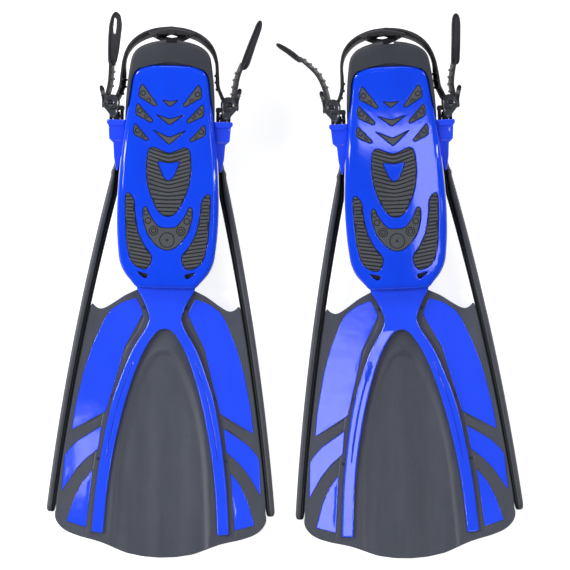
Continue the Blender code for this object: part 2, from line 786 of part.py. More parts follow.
def wrap(side):
    """The strap's turn round the roller, from its inner run to its outer run."""
    radius = ROLLER_RADIUS + GAP + STRAP_HALF
    if side > 0:
        return arc(ROLLER_X, ROLLER_Y, radius, -150, 0, 8)
    return arc(-ROLLER_X, ROLLER_Y, radius, -30, -180, 8)


def build_strap(fin, parent, materials, swivel, tails):
    left = smooth(tails[-1]["route"][::-1], 3)
    right = smooth(tails[1]["route"], 3)
    bend = smooth(HEEL_BEND, 3)
    heel = bend + [(-x, y) for x, y in reversed(bend[:-1])]
    path = left + wrap(-1)[::-1] + heel + wrap(1) + right
    length = sum(math.dist(a, b) for a, b in zip(path, path[1:]))
    tail_left = sum(math.dist(a, b) for a, b in zip(left, left[1:]))
    tail_right = sum(math.dist(a, b) for a, b in zip(right, right[1:]))
    run = 20.0 + TOOTH_PITCH
    turn = 17.0
    teeth = [
        (4.0, tail_left - 2.0, 1),
        (length - tail_right + 3.0, length - 3.0, 1),
        (tail_left + turn + 13, tail_left + turn + 13 + run, -1),
        (length - tail_right - turn - 10 - run, length - tail_right - turn - 10, -1),
    ]
    outline, _ = ribbon(path, STRAP_HALF, teeth)
    low, high = STRAP_Z - STRAP_HALF_WIDTH, STRAP_Z + STRAP_HALF_WIDTH
    bm = bmesh.new()
    prism(bm, outline, low, high)
    strap = add_object(fin + "_heel_strap", bm, materials["strap"], parent, origin=swivel)

    def extras(bm):
        prism(bm, HEEL_PAD, low - 5, high + 6)
        for tail in tails.values():
            prism(bm, tail["loop"], low + 1, high - 1)

    def slots(bm):
        prism(bm, HEEL_SLOT, low - 20, high + 20)
        for tail in tails.values():
            if "slot" in tail:
                prism(bm, tail["slot"], low - 20, high + 20)

    unite(strap, extras, parent)
    subtract(strap, slots, parent)
    merge_flat_faces(strap)


def fin_frame(name, place, turn):
    """The empty that carries one fin, standing at its blade tip."""
    empty = bpy.data.objects.new(name, None)
    empty.location = (place[0] * MM, place[1] * MM, 0.0)
    empty.rotation_euler = (0.0, 0.0, math.radians(turn))
    bpy.context.scene.collection.objects.link(empty)
    return empty


def build_fin(fin, outer_side, root, materials):
    build_shell(fin, root, materials)
    build_tread(fin, root, materials)
    build_pocket(fin, root, materials)
    build_blade(fin, root, materials, outer_side)
    tails = {side: TAILS[(fin, side)] for side in (-1, 1)}
    swivel = (0.0, SWIVEL_Y, STRAP_Z)
    for place, side in (("outer", outer_side), ("inner", -outer_side)):
        build_rail(fin, place, side, root, materials)
        build_lug(fin, place, side, root, materials)
        build_buckle(fin, place, side, root, materials, swivel)
    build_strap(fin, root, materials, swivel, tails)


def main():
    clear_scene()
    materials = {
        "shell": make_material("blue_shell", (0.0, 0.058, 0.87), 0.18),
        "lug": make_material("blue_lug", (0.01, 0.07, 0.85), 0.22),
        "panel": make_material("blue_panel", (0.03, 0.08, 0.95), 0.25),
        "pocket": make_material("dark_rubber", (0.055, 0.06, 0.075), 0.6),
        "blade": make_material("blade_rubber", (0.06, 0.065, 0.08), 0.55),
        "tread": make_material("tread_rubber", (0.11, 0.11, 0.105), 0.7),
        "rail": make_material("rail_rubber", (0.045, 0.048, 0.055), 0.5),
        "strap": make_material("strap_rubber", (0.03, 0.03, 0.034), 0.55),
        "buckle": make_material("black_plastic", (0.015, 0.015, 0.017), 0.3),
        "pin": make_material("grey_plastic", (0.04, 0.04, 0.045), 0.35),
    }
    left = fin_frame("left_fin", LEFT_FIN, LEFT_TURN)
    right = fin_frame("right_fin", RIGHT_FIN, RIGHT_TURN)
    build_fin("left", -1, left, materials)
    build_fin("right", 1, right, materials)


main()
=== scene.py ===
"""Looks for a pair of open-heel swim fins, lying side by side with their soles up.

Every piece is drawn in its fin's own plan frame, in millimetres: x across the fin, y from the
blade's tip towards the heel, z up from the floor. It is then moved to the fin's place in metres.
"""
import math

import bmesh
import bpy
import numpy as np
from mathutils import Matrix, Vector
from mathutils.geometry import delaunay_2d_cdt


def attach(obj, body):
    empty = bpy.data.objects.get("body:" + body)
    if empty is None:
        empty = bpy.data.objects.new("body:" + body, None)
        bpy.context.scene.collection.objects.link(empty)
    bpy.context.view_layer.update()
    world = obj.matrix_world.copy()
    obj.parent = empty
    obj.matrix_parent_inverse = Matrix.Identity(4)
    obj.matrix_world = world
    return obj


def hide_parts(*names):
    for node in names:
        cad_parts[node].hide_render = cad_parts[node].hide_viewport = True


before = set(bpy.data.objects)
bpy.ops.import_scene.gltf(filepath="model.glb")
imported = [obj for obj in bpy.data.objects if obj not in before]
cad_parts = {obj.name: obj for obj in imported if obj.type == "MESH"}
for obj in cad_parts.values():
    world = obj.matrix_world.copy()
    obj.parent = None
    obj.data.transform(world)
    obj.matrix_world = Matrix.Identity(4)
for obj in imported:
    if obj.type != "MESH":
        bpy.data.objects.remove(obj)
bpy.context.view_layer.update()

MM = 0.001

# The two fins: name, place of the blade's tip, turn about Z in degrees, and the side (+1 or -1) that
# faces away from the other fin
FINS = [
    ("left", (-131.1, -286.2), -1.4, -1),
    ("right", (134.0, -286.9), 2.65, 1),
]

# Heights along one fin
TOE_Y = 283.0
TOE_SOLE_Z = 49.0
HEEL_Y = 540.5
HEEL_SOLE_Z = 124.0
BLADE_TIP_Z = 2.8
BLADE_SLOPE = 0.06
BLADE_BEND = 0.00012
BLADE_HALF_THICKNESS = 1.5
SOLE_CROWN = 0.9          # fall of the sole from its middle line to 50 mm out

GAP = 0.3                 # between neighbouring pieces
SUPPORT = 0.35            # flat margin kept inside every rounded edge
WEAR_REACH = 0.9          # how far from an edge a piece is rubbed

# Sole shell and its neck
SHELL_PLATE = 3.5
SHELL_SKIRT = 14.0
SHELL_WALL = 3.0
SHELL_ROUND = 2.6
WINDOW_ROUND = 0.5
ISLAND_DROP = 0.1
ISLAND_ROUND = 0.7
EDGE_BEVEL = 4.7          # width of the sloping rim round the sole shell
EDGE_BEVEL_SLOPE = 0.28
RIB_HEIGHT_ROOT = 7.0
RIB_HEIGHT_TIP = 2.6
RIB_ROUND = 1.2
CREASE_HALF = 0.7         # the fine crease along each rib
CREASE_DEPTH = 0.4
NECK_DROP = 0.2
NECK_SWELL = 0.4          # rise of the neck's middle
NECK_FORK_Y = 240.0       # above this the neck climbs less steeply than the ribs
NECK_FLATTENING = 0.05
NECK_OVERLAP = 0.3        # how far the neck and ribs reach past their outline, up to the panels

# Tread pads
TREAD_DEPTH = 5.4
TREAD_PROUD = 0.7
PAD_ROUND = 0.6
PAD_GAP = 0.45            # between a pad and its window, at the surface
CENTRE_PITCH = 4.0
SIDE_PITCH = 3.8
CENTRE_START = 360.0      # where the middle of the centre pad's first groove lies
SIDE_START = 303.0
GROOVE_HALF = 0.72
GROOVE_DEPTH = 1.3
RING_HALF = 0.6
RING_DEPTH = 0.8

# Foot pocket
SOLE_THICKNESS = 12.0
POCKET_WALL = 7.5
INSTEP_WALL = 7.0
INSTEP_EDGE_Y = 446.0
INSTEP_FLAT = -3.0

# Blade
SCOOP_DEPTH = 1.4
WAVE_HEIGHT = 0.6         # the soft waves along the scoop's floor
WAVE_STEP = 5.6           # across the scoop, for each radian of the waves
BEAD_HEIGHT = 0.5         # the low bead round the scoop
PANEL_PROUD = 0.6
PANEL_OVERLAP = 0.15      # how far a panel reaches into the rim of its window
SEAM_OFFSET = 6.6         # from the rib's edge to the fine seam beside it
SEAM_DEPTH = 0.4
SEAM_WIDTH = 0.5

# Side rails
RAIL_TIP_Y = 46.0
RAIL_ROOT_Y = 426.0
RAIL_TOP = (4.8, 3.2)     # height of the rail over its base: at the tip, and what the root adds
RAIL_FALL = (5.2, 3.0)    # depth below its base, in the same way
RAIL_TIP_ROUND = (3.4, 2.4, 2.6)   # what the rounded tip takes off the outer side, inner side and top
RAIL_THIN_Y = 385.0       # from here towards the heel the rail keeps at least the width below
RAIL_LEAST_WIDTH = 3.5
RAIL_KNOT_Y = 405.0       # a small thickening of the outer edge

# Strap, buckles and their axes
SWIVEL_Y = 463.0
STRAP_Z = 76.0
STRAP_HALF_WIDTH = 12.0
STRAP_HALF = 1.2
TOOTH_HEIGHT = 1.3
TOOTH_PITCH = 7.4
ROLLER_X = 62.5
ROLLER_Y = 476.8
ROLLER_RADIUS = 2.6
PIN_RADIUS = 1.2
SWIVEL_RADIUS = 1.8
KNUCKLE_RADIUS = 4.6
LEVER_X = 69.4
LEVER_Y = 474.0
LEVER_PIN_RADIUS = 1.0
PLATE_INNER = 12.6        # faces of the buckle's plates, from the strap's middle height
PLATE_OUTER = 15.4

# Lugs
LUG_DROP = 8.2            # below the sole
LUG_DEPTH = 29.0
LUG_FALL = 0.06           # slope down away from the fin
LUG_CLIMB = 0.04          # slope up towards the heel, on top of the sole's
LUG_LIP_Y = 456.8         # beyond this a lug is only a thin lip, above the path of the buckle
LUG_STEPS = [(452.2, 453.0, 2.4), (436.6, 437.8, 1.6)]   # where its top rises: from y, to y, by how much

# Half-widths (y, half) from the toe to the heel edge: what shell and pocket share, then each of them
FOREFOOT_HALF = [
    (289, 35.6), (299, 44), (310, 49), (322, 51), (343, 52.8), (371, 53.3), (401, 51.8), (431, 49.4),
]
SHELL_HALF = [
    (283, 30.8), *FOREFOOT_HALF, (452, 46.8), (471, 44.6), (490, 41.7), (501, 40.6), (509, 38), (513.5, 33),
    (517, 20),
]
POCKET_HALF = [
    (285.4, 32.6), *FOREFOOT_HALF, (452, 47.2), (475, 46.6), (490, 45.8), (505, 44.4), (517, 42.6), (527, 40),
    (534, 33), (538.5, 21), (540.5, 8),
]
CAVITY_HALF = [
    (298, 4), (301, 22), (306, 31), (314, 39), (322, 43),
    *[(y, half - POCKET_WALL) for y, half in POCKET_HALF if 340 < y < 510], (530, 35), (545, 33),
]
INSTEP_LINE = [(283, 19), (289, 12), (299, 8), (322, 4.5), (350, 1.5), (392, INSTEP_FLAT), (560, INSTEP_FLAT)]
OPENING_LINE = [
    (INSTEP_EDGE_Y, -10), (INSTEP_EDGE_Y + 2, 8), (INSTEP_EDGE_Y + 10, 38), (INSTEP_EDGE_Y + 26, 66),
    (INSTEP_EDGE_Y + 50, 88), (INSTEP_EDGE_Y + 76, 103), (HEEL_Y + 4, 111),
]

# Half outline of the neck and ribs: out along the rib's outer edge, back along its inner edge
RIB_OUTER = [
    (30.4, 285), (29.6, 281), (23.5, 270.6), (19.6, 262), (16.6, 252.7), (18.4, 245), (23, 236),
    (34.2, 217), (45.8, 187), (53.2, 164), (59.3, 136), (64.6, 103), (68.6, 71), (72, 26),
]
RIB_INNER = [
    (60.3, 25), (57.4, 67), (53.4, 100), (47.6, 132), (40.2, 164), (31.2, 194), (22, 217),
    (12.6, 233), (6, 239.5), (0, 241),
]
BLADE_TIP_EDGE = [
    (110.2, 48), (111.4, 44.6), (111, 39), (108, 33.5), (103, 28.4), (96, 24.4), (84, 20.4), (72, 17.6),
    (63, 15.2), (52.5, 11.2), (44, 7.6), (35, 4.2), (17.5, 1), (0, 0),
]
BLADE_ROOT_EDGE = [
    (77, 267.2), (74, 262.9), (69, 260.3), (64, 261.4), (57, 265.6), (43, 275.4), (28.6, 282.3), (28, 285),
]
SCOOP_EDGE = [(0, 218), (11.5, 214), (25, 188), (34.7, 160), (41, 132), (46.2, 95), (49.4, 48), (51, 14)]
PANELS = {
    "root": [
        (31, 272.6), (26.6, 264), (23.8, 256.4), (29.5, 245), (42, 221), (51, 186), (60.2, 153),
        (95.4, 132.6), (92, 158), (83.3, 198), (74.5, 225), (63.5, 250), (57, 259.5), (45.5, 267.6),
    ],
    "mid": [
        (64.3, 137), (67.4, 113), (80.5, 102), (91, 90), (104.5, 68), (102.2, 105), (98.5, 111), (89, 121),
    ],
    "tip": [(72.8, 90.5), (78.4, 30.5), (98.6, 36.5), (90.6, 62), (82.3, 78.5)],
}
BLADE_STUDS = [(22.5, 263, 1.8), (53.4, 169.5, 2.0), (67.5, 103, 1.6)]

# Tread windows in the shell; side ones are given for the +x side
ROW_PADS = [
    [(29.5, 498), (32.6, 492), (33.4, 483.5), (15.4, 472.8), (12.6, 475)],
    [(34, 477.5), (36.2, 472), (35.4, 464), (19.2, 456), (16.8, 458.4)],
    [(36.2, 456.3), (38.2, 450), (37.4, 443.7), (23.2, 436.8), (20.7, 438.8)],
]
ROW_RINGS = [
    [(28.6, 487.2, 2.5), (22.4, 480.1, 1.7)],
    [(31.4, 468.8, 2.5), (25, 463, 1.7)],
    [(33.4, 448, 2.4), (27.4, 442.6, 1.6)],
]
CHEVRONS = [
    [(-9.4, 480.9), (0, 479.4), (9.4, 480.9), (0, 472.8)],
    [(-15.6, 465.7), (0, 461), (15.6, 465.7), (0, 453.8)],
    [(-18.4, 449.8), (0, 441.8), (18.4, 449.8), (0, 433.2)],
]
CENTRE_PAD_HALF = [
    (0, 424.6), (8, 428), (17, 432), (21.6, 429.5), (23.3, 420), (23.9, 406), (22.4, 393), (18.6, 380),
    (12, 366), (6, 359.6), (0, 358),
]
ISLAND_HALF = [(0, 414.4), (11.6, 416.6), (9.5, 410), (5.6, 401), (2.6, 397.2), (0, 396.4)]
SIDE_PAD = [
    (44, 384), (38.4, 381.5), (34.8, 375), (33.8, 360), (30.4, 342), (23.6, 328), (15, 317.4), (16, 308.5),
    (21.4, 301.8), (32, 305), (39, 313), (43, 332), (44.6, 357), (45.2, 375),
]
TOE_PAD_HALF = [
    (0, 347), (7.5, 347), (12, 350.8), (18, 359.5), (22.4, 370), (26.4, 367.5), (25.9, 355), (21.8, 341),
    (14, 330), (7, 324.4), (0, 322.6),
]
TOE_RINGS = [(0, 334, 7.7), (0, 334, 1.0)] + [
    (side * x, y, radius) for side in (1, -1)
    for x, y, radius in ((14.3, 343.5, 4.5), (14.3, 343.5, 2.3), (20.4, 354, 3.0), (22.6, 362, 2.4))
]
DRAIN = [(31.5, 301), (26, 299.6), (19.6, 298.6), (18.8, 295.6), (22, 292.8), (27.4, 296.4)]

# The strap's heel bend, from its left run to the middle
HEEL_BEND = [
    (-53.4, 486), (-50.6, 495), (-49.6, 508), (-48.6, 521), (-45.2, 532.4), (-38.8, 541.4), (-29.2, 548.4),
    (-16, 553.2), (0, 555.2),
]
HEEL_PAD = [
    (-27, 551.2), (-14, 554.4), (0, 556.2), (14, 554.4), (27, 551.2), (21, 547), (14, 543.6), (7, 541),
    (0, 540.5), (-7, 541), (-14, 543.6), (-21, 547),
]
HEEL_SHIFT = {"left": (-0.8, 0), "right": (-2, -6)}     # sideways, of the heel bend and of the heel pad
HEEL_DROP = 1.6           # how far the bend lies towards the toe
HEEL_LEAN = 3.4           # how far each edge of the band leans: at the heel, on the tails
TAIL_LEAN = 1.9
SIDE_LEAN = {"left": (2.4, 0.9), "right": (0.9, 2.4)}   # and on its left and right runs
RUN_SHIFT = 1.1           # how far the right run of the band lies inward of the left one
HEEL_LIP_DROP = 21.0      # the lip inside the band lies low, so that it clears the heel cup as it swings
HEEL_PAD_PROUD = 3.0      # above the band
HEEL_PAD_HALF = 25.0
HEEL_LIP_EDGE = 547.2     # where the lip starts on the middle line, and how the edge curves
HEEL_LIP_CURVE = 0.0075
HEEL_SLOT = [(-6.4, 547.4), (0, 549.6), (6.4, 547.4), (0, 546.2)]
TAILS = {
    ("left", -1): {
        "route": [(-65.9, 484), (-63.5, 495), (-62.5, 508), (-62.6, 522)],
        "bar": [
            (-66.2, 517), (-66.8, 530), (-66.9, 545), (-66.2, 558), (-64, 568), (-59.8, 573.4),
            (-54.2, 569.3), (-52.4, 558), (-53.6, 545), (-55, 531), (-57.2, 519), (-60.5, 514.5),
        ],
        "slot": [(-61.2, 549), (-61.6, 556), (-60.6, 566), (-58.4, 564.4), (-58.4, 556), (-59.2, 549)],
    },
    ("left", 1): {
        "route": [(66.4, 484), (67.6, 495), (70, 508.3), (75.1, 521.5)],
        "bar": [
            (71.9, 517), (76.1, 530.5), (80.9, 544), (84.9, 554.5), (87.9, 562.9), (91.1, 567.3),
            (94.3, 565.9), (94.5, 560), (92.1, 552), (89.1, 543), (85.3, 530.5), (81.7, 518.5), (78, 514.1),
            (73.5, 514.1),
        ],
    },
    ("right", -1): {
        "route": [(-65.6, 484), (-68.2, 496.1), (-74, 510.3), (-83.4, 521.3), (-94.4, 530.8)],
        "bar": [
            (-90.4, 528.8), (-97.9, 536), (-105.4, 541.7), (-112.4, 546), (-116.8, 547.4), (-118, 544.8),
            (-114, 540.8), (-107, 535.8), (-99.8, 529.4), (-93, 524.4),
        ],
    },
    ("right", 1): {
        "route": [(65.8, 484), (64, 495), (65.5, 508), (68.6, 522)],
        "bar": [
            (64.8, 516.5), (65.6, 530), (66.6, 548), (67.2, 560), (68.6, 567.6), (72.2, 570.6), (75.8, 567.6),
            (76.8, 560), (76.2, 548), (75.2, 532), (74, 519), (71.8, 515.5),
        ],
    },
}


# Plan geometry

def soften(outline, reach, steps=4):
    """Round every corner of a closed outline, taking at most reach from each side of it."""
    points = np.array(outline, float)
    result = []
    for before, here, after in zip(np.roll(points, 1, 0), points, np.roll(points, -1, 0)):
        back = before - here
        ahead = after - here
        start = here + back * min(reach / np.linalg.norm(back), 0.5)
        end = here + ahead * min(reach / np.linalg.norm(ahead), 0.5)
        for t in np.linspace(0, 1, steps + 1):
            point = (1 - t) ** 2 * start + 2 * t * (1 - t) * here + t * t * end
            if not result or np.linalg.norm(point - result[-1]) > 0.05:
                result.append(point)
    if np.linalg.norm(result[0] - result[-1]) < 0.05:
        result.pop()
    return np.array(result)


def smooth(points, steps):
    """An open Catmull-Rom curve through the points."""
    padded = np.array([points[0], *points, points[-1]], float)
    curve = []
    for p0, p1, p2, p3 in zip(padded, padded[1:], padded[2:], padded[3:]):
        for t in np.arange(steps) / steps:
            bend = (2 * p0 - 5 * p1 + 4 * p2 - p3) * t * t + (3 * p1 - p0 - 3 * p2 + p3) * t ** 3
            curve.append(0.5 * (2 * p1 + (p2 - p0) * t + bend))
    return np.array(curve + [padded[-1]])


def mirrored(points):
    return [(-x, y) for x, y in reversed([tuple(p) for p in points])]


def both_sides(half):
    """A whole outline from a half one that runs from the middle line back to the middle line."""
    return list(half) + [(-x, y) for x, y in reversed(half) if x > 0.01]


def outline_from_widths(widths):
    right = [(half, y) for y, half in widths]
    return right + [(-x, y) for x, y in reversed(right)]


def area(outline):
    following = np.roll(outline, -1, 0)
    return 0.5 * np.sum(outline[:, 0] * following[:, 1] - following[:, 0] * outline[:, 1])


def offset(outline, distance):
    """The outline moved outward by distance, or inward when distance is negative."""
    outline = np.array(outline, float)
    sign = 1.0 if area(outline) > 0 else -1.0
    ahead = np.roll(outline, -1, 0) - outline
    ahead /= np.linalg.norm(ahead, axis=1)[:, None]
    turn = ahead + np.roll(ahead, 1, 0)
    normal = np.stack([turn[:, 1], -turn[:, 0]], 1)
    size = np.maximum((normal ** 2).sum(1), 0.8)
    return outline + normal * (sign * distance * 2.0 / size)[:, None]


def circle(x, y, radius, count):
    angles = np.arange(count) * 2 * math.pi / count
    return np.stack([x + radius * np.cos(angles), y + radius * np.sin(angles)], 1)


def arc(x, y, radius, start, end, count):
    """Points on an arc; start and end are in degrees."""
    angles = np.radians(np.linspace(start, end, count))
    return [(x + radius * math.cos(a), y + radius * math.sin(a)) for a in angles]


def distance(points, path, closed=True):
    """Distance from each point to a path of straight pieces."""
    path = np.array(path, float)
    start, end = (path, np.roll(path, -1, 0)) if closed else (path[:-1], path[1:])
    along = end - start
    length2 = np.maximum((along ** 2).sum(1), 1e-9)
    result = []
    for chunk in np.array_split(points, len(points) // 3000 + 1):
        rel = chunk[:, None, :] - start[None]
        t = np.clip((rel * along).sum(2) / length2, 0, 1)
        gap = rel - t[..., None] * along
        result.append(np.sqrt((gap ** 2).sum(2).min(1)))
    return np.concatenate(result)


def inside(points, loop):
    loop = np.array(loop, float)
    x, y = points[:, 0][:, None], points[:, 1][:, None]
    ax, ay = loop.T
    bx, by = np.roll(loop, -1, 0).T
    rise = np.where(by == ay, 1e-9, by - ay)
    crossed = ((ay > y) != (by > y)) & (x < (bx - ax) * (y - ay) / rise + ax)
    return crossed.sum(1) % 2 == 1


def along(pairs, y):
    """Value at y on the line through (y, value) pairs."""
    keys, values = zip(*pairs)
    return np.interp(y, keys, values)


def step_up(value, low, high):
    """A smooth rise from 0 at low to 1 at high."""
    t = np.clip((value - low) / (high - low), 0, 1)
    return t * t * (3 - 2 * t)


def soft_past(value, blend):
    """Nearly 0 where value is negative and nearly value where it is positive."""
    return 0.5 * (value + np.sqrt(value ** 2 + blend))


def nearest_of(x, y, paths):
    """Distance from each point to the nearer of two open paths."""
    points = np.column_stack([x, y])
    return np.minimum(*[distance(points, path, False) for path in paths])


# Heights

def sole_z(y):
    return TOE_SOLE_Z + (HEEL_SOLE_Z - TOE_SOLE_Z) * (y - TOE_Y) / (HEEL_Y - TOE_Y)


def crowned_sole(x, y):
    return sole_z(y) - SOLE_CROWN * (x / 50.0) ** 2


def blade_z(y):
    return BLADE_TIP_Z + BLADE_SLOPE * y + BLADE_BEND * y * y


def rib_bottom(y):
    return blade_z(y) + BLADE_HALF_THICKNESS + GAP


def rib_top(y):
    return rib_bottom(y) + RIB_HEIGHT_TIP + (RIB_HEIGHT_ROOT - RIB_HEIGHT_TIP) * y / TOE_Y


def rail_x(y):
    return 120.2 - 0.0868 * y - 0.000192 * y * y


def rail_half(y):
    return 4.5 + 1.5 * y / RAIL_ROOT_Y


# Raw meshes: (points, faces, edge wear per point, painted shade per point; on the studs that shade value also
# holds their darker tone)

def raw(points, faces, wear=None, groove=None):
    points = np.array(points, float)
    wear = np.zeros(len(points)) if wear is None else wear
    groove = np.zeros(len(points)) if groove is None else groove
    return points, [tuple(int(i) for i in face) for face in faces], wear, groove


def merge(parts):
    start = 0
    faces = []
    for part in parts:
        faces += [tuple(i + start for i in face) for face in part[1]]
        start += len(part[0])
    stacked = [np.concatenate([part[k] for part in parts]) for k in (0, 2, 3)]
    return stacked[0], faces, stacked[1], stacked[2]


def round_drop(gap, radius):
    """Fall of a rounded edge at a distance from the outline."""
    left = np.clip(radius - gap, 0, radius)
    return radius - np.sqrt(np.maximum(radius * radius - left * left, 0))


def moulded(outline, top, bottom, edge=1.0, holes=(), hole_edge=WINDOW_ROUND, under=0.0, spacing=4.0,
            lines=(), groove=None, extra_insets=(), support=SUPPORT):
    """A closed solid over an outline, with holes, between top(x, y, gap) and bottom(x, y, gap).

    gap is the distance from the outer outline. edge and hole_edge round the upper edges, and under rounds
    the lower ones. lines are rows of points that the mesh has to pass through, extra_insets add loops of
    points inside the outline, and support is the flat margin inside a rounded edge. groove(x, y) gives the
    painted shade: how far the colour is darkened in grooves, creases and gaps.
    """
    outline = np.array(outline, float)
    loops = [(outline, -1.0, edge)] + [(np.array(hole, float), 1.0, hole_edge) for hole in holes]
    points = []
    links = []

    def add(path, closed):
        first = sum(len(group) for group in points)
        points.append(path)
        count = len(path)
        links.extend((first + i, first + (i + 1) % count) for i in range(count if closed else count - 1))

    for loop, sign, radius in loops:
        insets = [radius * (1 - math.cos(math.radians(a))) for a in (0, 22.5, 45, 67.5, 90)]
        insets += [radius + support] if support else []
        for inset in sorted(insets + (list(extra_insets) if sign < 0 else [])):
            add(offset(loop, sign * inset), True)

    def clear_of_edges(cloud, margin):
        keep = inside(cloud, outline) & (distance(cloud, outline) > edge + margin)
        for loop, _, radius in loops[1:]:
            near = inside(cloud, loop) | (distance(cloud, loop) < radius + margin)
            keep &= ~near
        return cloud[keep]

    used = [clear_of_edges(np.array(line, float), support + 0.2) for line in lines]
    points += [line for line in used if len(line)]
    low, high = outline.min(0), outline.max(0)
    xs = np.arange(low[0] + spacing / 2, high[0], spacing)
    ys = np.arange(low[1] + spacing / 2, high[1], spacing)
    cloud = np.stack(np.meshgrid(xs, ys), -1).reshape(-1, 2)
    if len(cloud):
        cloud = clear_of_edges(cloud, 0.4 * spacing)
        packed = [line for line in used if len(line)]
        if packed and len(cloud):
            rows = np.concatenate(packed)
            for part in np.array_split(rows, len(rows) // 400 + 1):
                near = np.sqrt(((cloud[:, None] - part[None]) ** 2).sum(2)).min(1)
                cloud = cloud[near > 0.45 * spacing]
        points.append(cloud)
    flat, _, faces, *_ = delaunay_2d_cdt([tuple(p) for p in np.concatenate(points)], links, [], 0, 1e-4)
    flat = np.array([tuple(p) for p in flat])
    faces = np.array(faces)
    centres = flat[faces].mean(1)
    keep = inside(centres, outline)
    for hole in holes:
        keep &= ~inside(centres, hole)
    faces = faces[keep]
    sizes = np.cross(flat[faces[:, 1]] - flat[faces[:, 0]], flat[faces[:, 2]] - flat[faces[:, 0]])
    faces = np.where(sizes[:, None] < 0, faces[:, ::-1], faces)
    index, faces = np.unique(faces, return_inverse=True)
    faces = faces.reshape(-1, 3)
    flat = flat[index]
    gap = distance(flat, outline)
    drop = round_drop(gap, edge)
    nearest = gap.copy()
    for loop, _, radius in loops[1:]:
        hole_gap = distance(flat, loop)
        drop = np.maximum(drop, round_drop(hole_gap, radius))
        nearest = np.minimum(nearest, hole_gap)
    x, y = flat.T
    upper = np.column_stack([flat, top(x, y, gap) - drop])
    lower = np.column_stack([flat, bottom(x, y, gap) + round_drop(nearest, under)])
    count = len(flat)
    sides = dict.fromkeys((face[i], face[(i + 1) % 3]) for face in faces for i in range(3))
    walls = [(b, a, a + count, b + count) for a, b in sides if (b, a) not in sides]
    all_faces = [tuple(f) for f in faces] + [tuple(f[::-1] + count) for f in faces] + walls
    wear = np.exp(-(nearest / WEAR_REACH) ** 2)
    shade = np.zeros(count) if groove is None else groove(x, y)
    return raw(np.concatenate([upper, lower]), all_faces, np.tile(wear, 2), np.tile(shade, 2))


def unworn(part):
    points, faces, wear, groove = part
    return points, faces, 0 * wear, groove


def loft(rings, groove=None):
    """A closed solid through rings of equal length; each ring is a closed loop of points."""
    rings = np.array(rings, float)
    count, size = rings.shape[:2]
    faces = []
    for r in range(count - 1):
        for i in range(size):
            j = (i + 1) % size
            faces.append((r * size + i, r * size + j, (r + 1) * size + j, (r + 1) * size + i))
    faces.append(tuple(range(size))[::-1])
    faces.append(tuple((count - 1) * size + i for i in range(size)))
    return raw(rings.reshape(-1, 3), faces, groove=groove)


def turned(profile, centre, axis, count=24):
    """A turned solid; profile is (distance along the axis, radius) from one end to the other."""
    rings = []
    for position, radius in profile:
        ring = []
        for u, v in circle(0, 0, max(radius, 0.01), count):
            if axis == "z":
                ring.append((centre[0] + u, centre[1] + v, centre[2] + position))
            else:
                ring.append((centre[0] + position, centre[1] + u, centre[2] + v))
        rings.append(ring)
    return loft(rings)


def rounded_pin(radius, half, round_off, bulge=0.0):
    """Profile of a bar with rounded ends, from -half to half."""
    low = []
    for a in np.radians([90, 60, 30, 0]):
        low.append((-half + round_off * (1 - math.sin(a)), radius - round_off * (1 - math.cos(a))))
    high = [(-position, size) for position, size in reversed(low)]
    tip = max(radius - round_off, 0.05) * 0.4
    return [(-half - bulge, tip), *low, *high, (half + bulge, tip)]


def tube(path, radii, sides=14):
    """A round bead along a path in space, with one radius for each of its points."""
    path = np.array(path, float)
    tangent = np.gradient(path, axis=0)
    tangent /= np.linalg.norm(tangent, axis=1)[:, None]
    rings = []
    side = np.cross(tangent[0], (0, 0, 1.0))
    for point, ahead, radius in zip(path, tangent, radii):
        side = side - ahead * side.dot(ahead)
        side /= np.linalg.norm(side)
        up = np.cross(side, ahead)
        turn = np.arange(sides) * 2 * math.pi / sides
        rings.append(point + radius * (np.cos(turn)[:, None] * side + np.sin(turn)[:, None] * up))
    return loft(rings)


# Objects

def place_points(points, fin):
    _, (px, py), turn, _ = fin
    c, s = math.cos(math.radians(turn)), math.sin(math.radians(turn))
    x, y, z = points.T
    return np.column_stack([px + c * x - s * y, py + s * x + c * y, z]) * MM


def add_piece(fin, name, mesh_data, material, body, nodes=(), crease=40):
    """Make one visible piece that rides on a body and stands for the given CAD nodes."""
    points, faces, wear, groove = mesh_data
    mesh = bpy.data.meshes.new(f"{fin[0]}_{name}")
    mesh.from_pydata([tuple(p) for p in place_points(points, fin)], [], faces)
    mesh.validate()
    bm = bmesh.new()
    bm.from_mesh(mesh)
    bmesh.ops.recalc_face_normals(bm, faces=bm.faces)
    bm.to_mesh(mesh)
    bm.free()
    # The groove attribute holds painted shade for grooves, creases and gaps; the studs also use it for their
    # own darker tone.
    for key, values in (("wear", wear), ("groove", groove)):
        layer = mesh.attributes.new(key, "FLOAT", "POINT")
        layer.data.foreach_set("value", np.asarray(values, np.float32))
    mesh.shade_smooth()
    mesh.set_sharp_from_angle(angle=math.radians(crease))
    mesh.materials.append(material)
    piece = bpy.data.objects.new(f"{fin[0]}_{name}", mesh)
    bpy.context.scene.collection.objects.link(piece)
    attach(piece, f"{fin[0]}_{body}")
    if nodes:
        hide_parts(*[f"{fin[0]}_{node}" for node in nodes])


# Materials

def new_material(name):
    material = bpy.data.materials.new(name)
    material.use_nodes = True
    return material, material.node_tree, material.node_tree.nodes["Principled BSDF"]


def add_node(tree, kind, **values):
    node = tree.nodes.new(kind)
    for key, value in values.items():
        if key in node.inputs:
            node.inputs[key].default_value = value
        else:
            setattr(node, key, value)
    return node


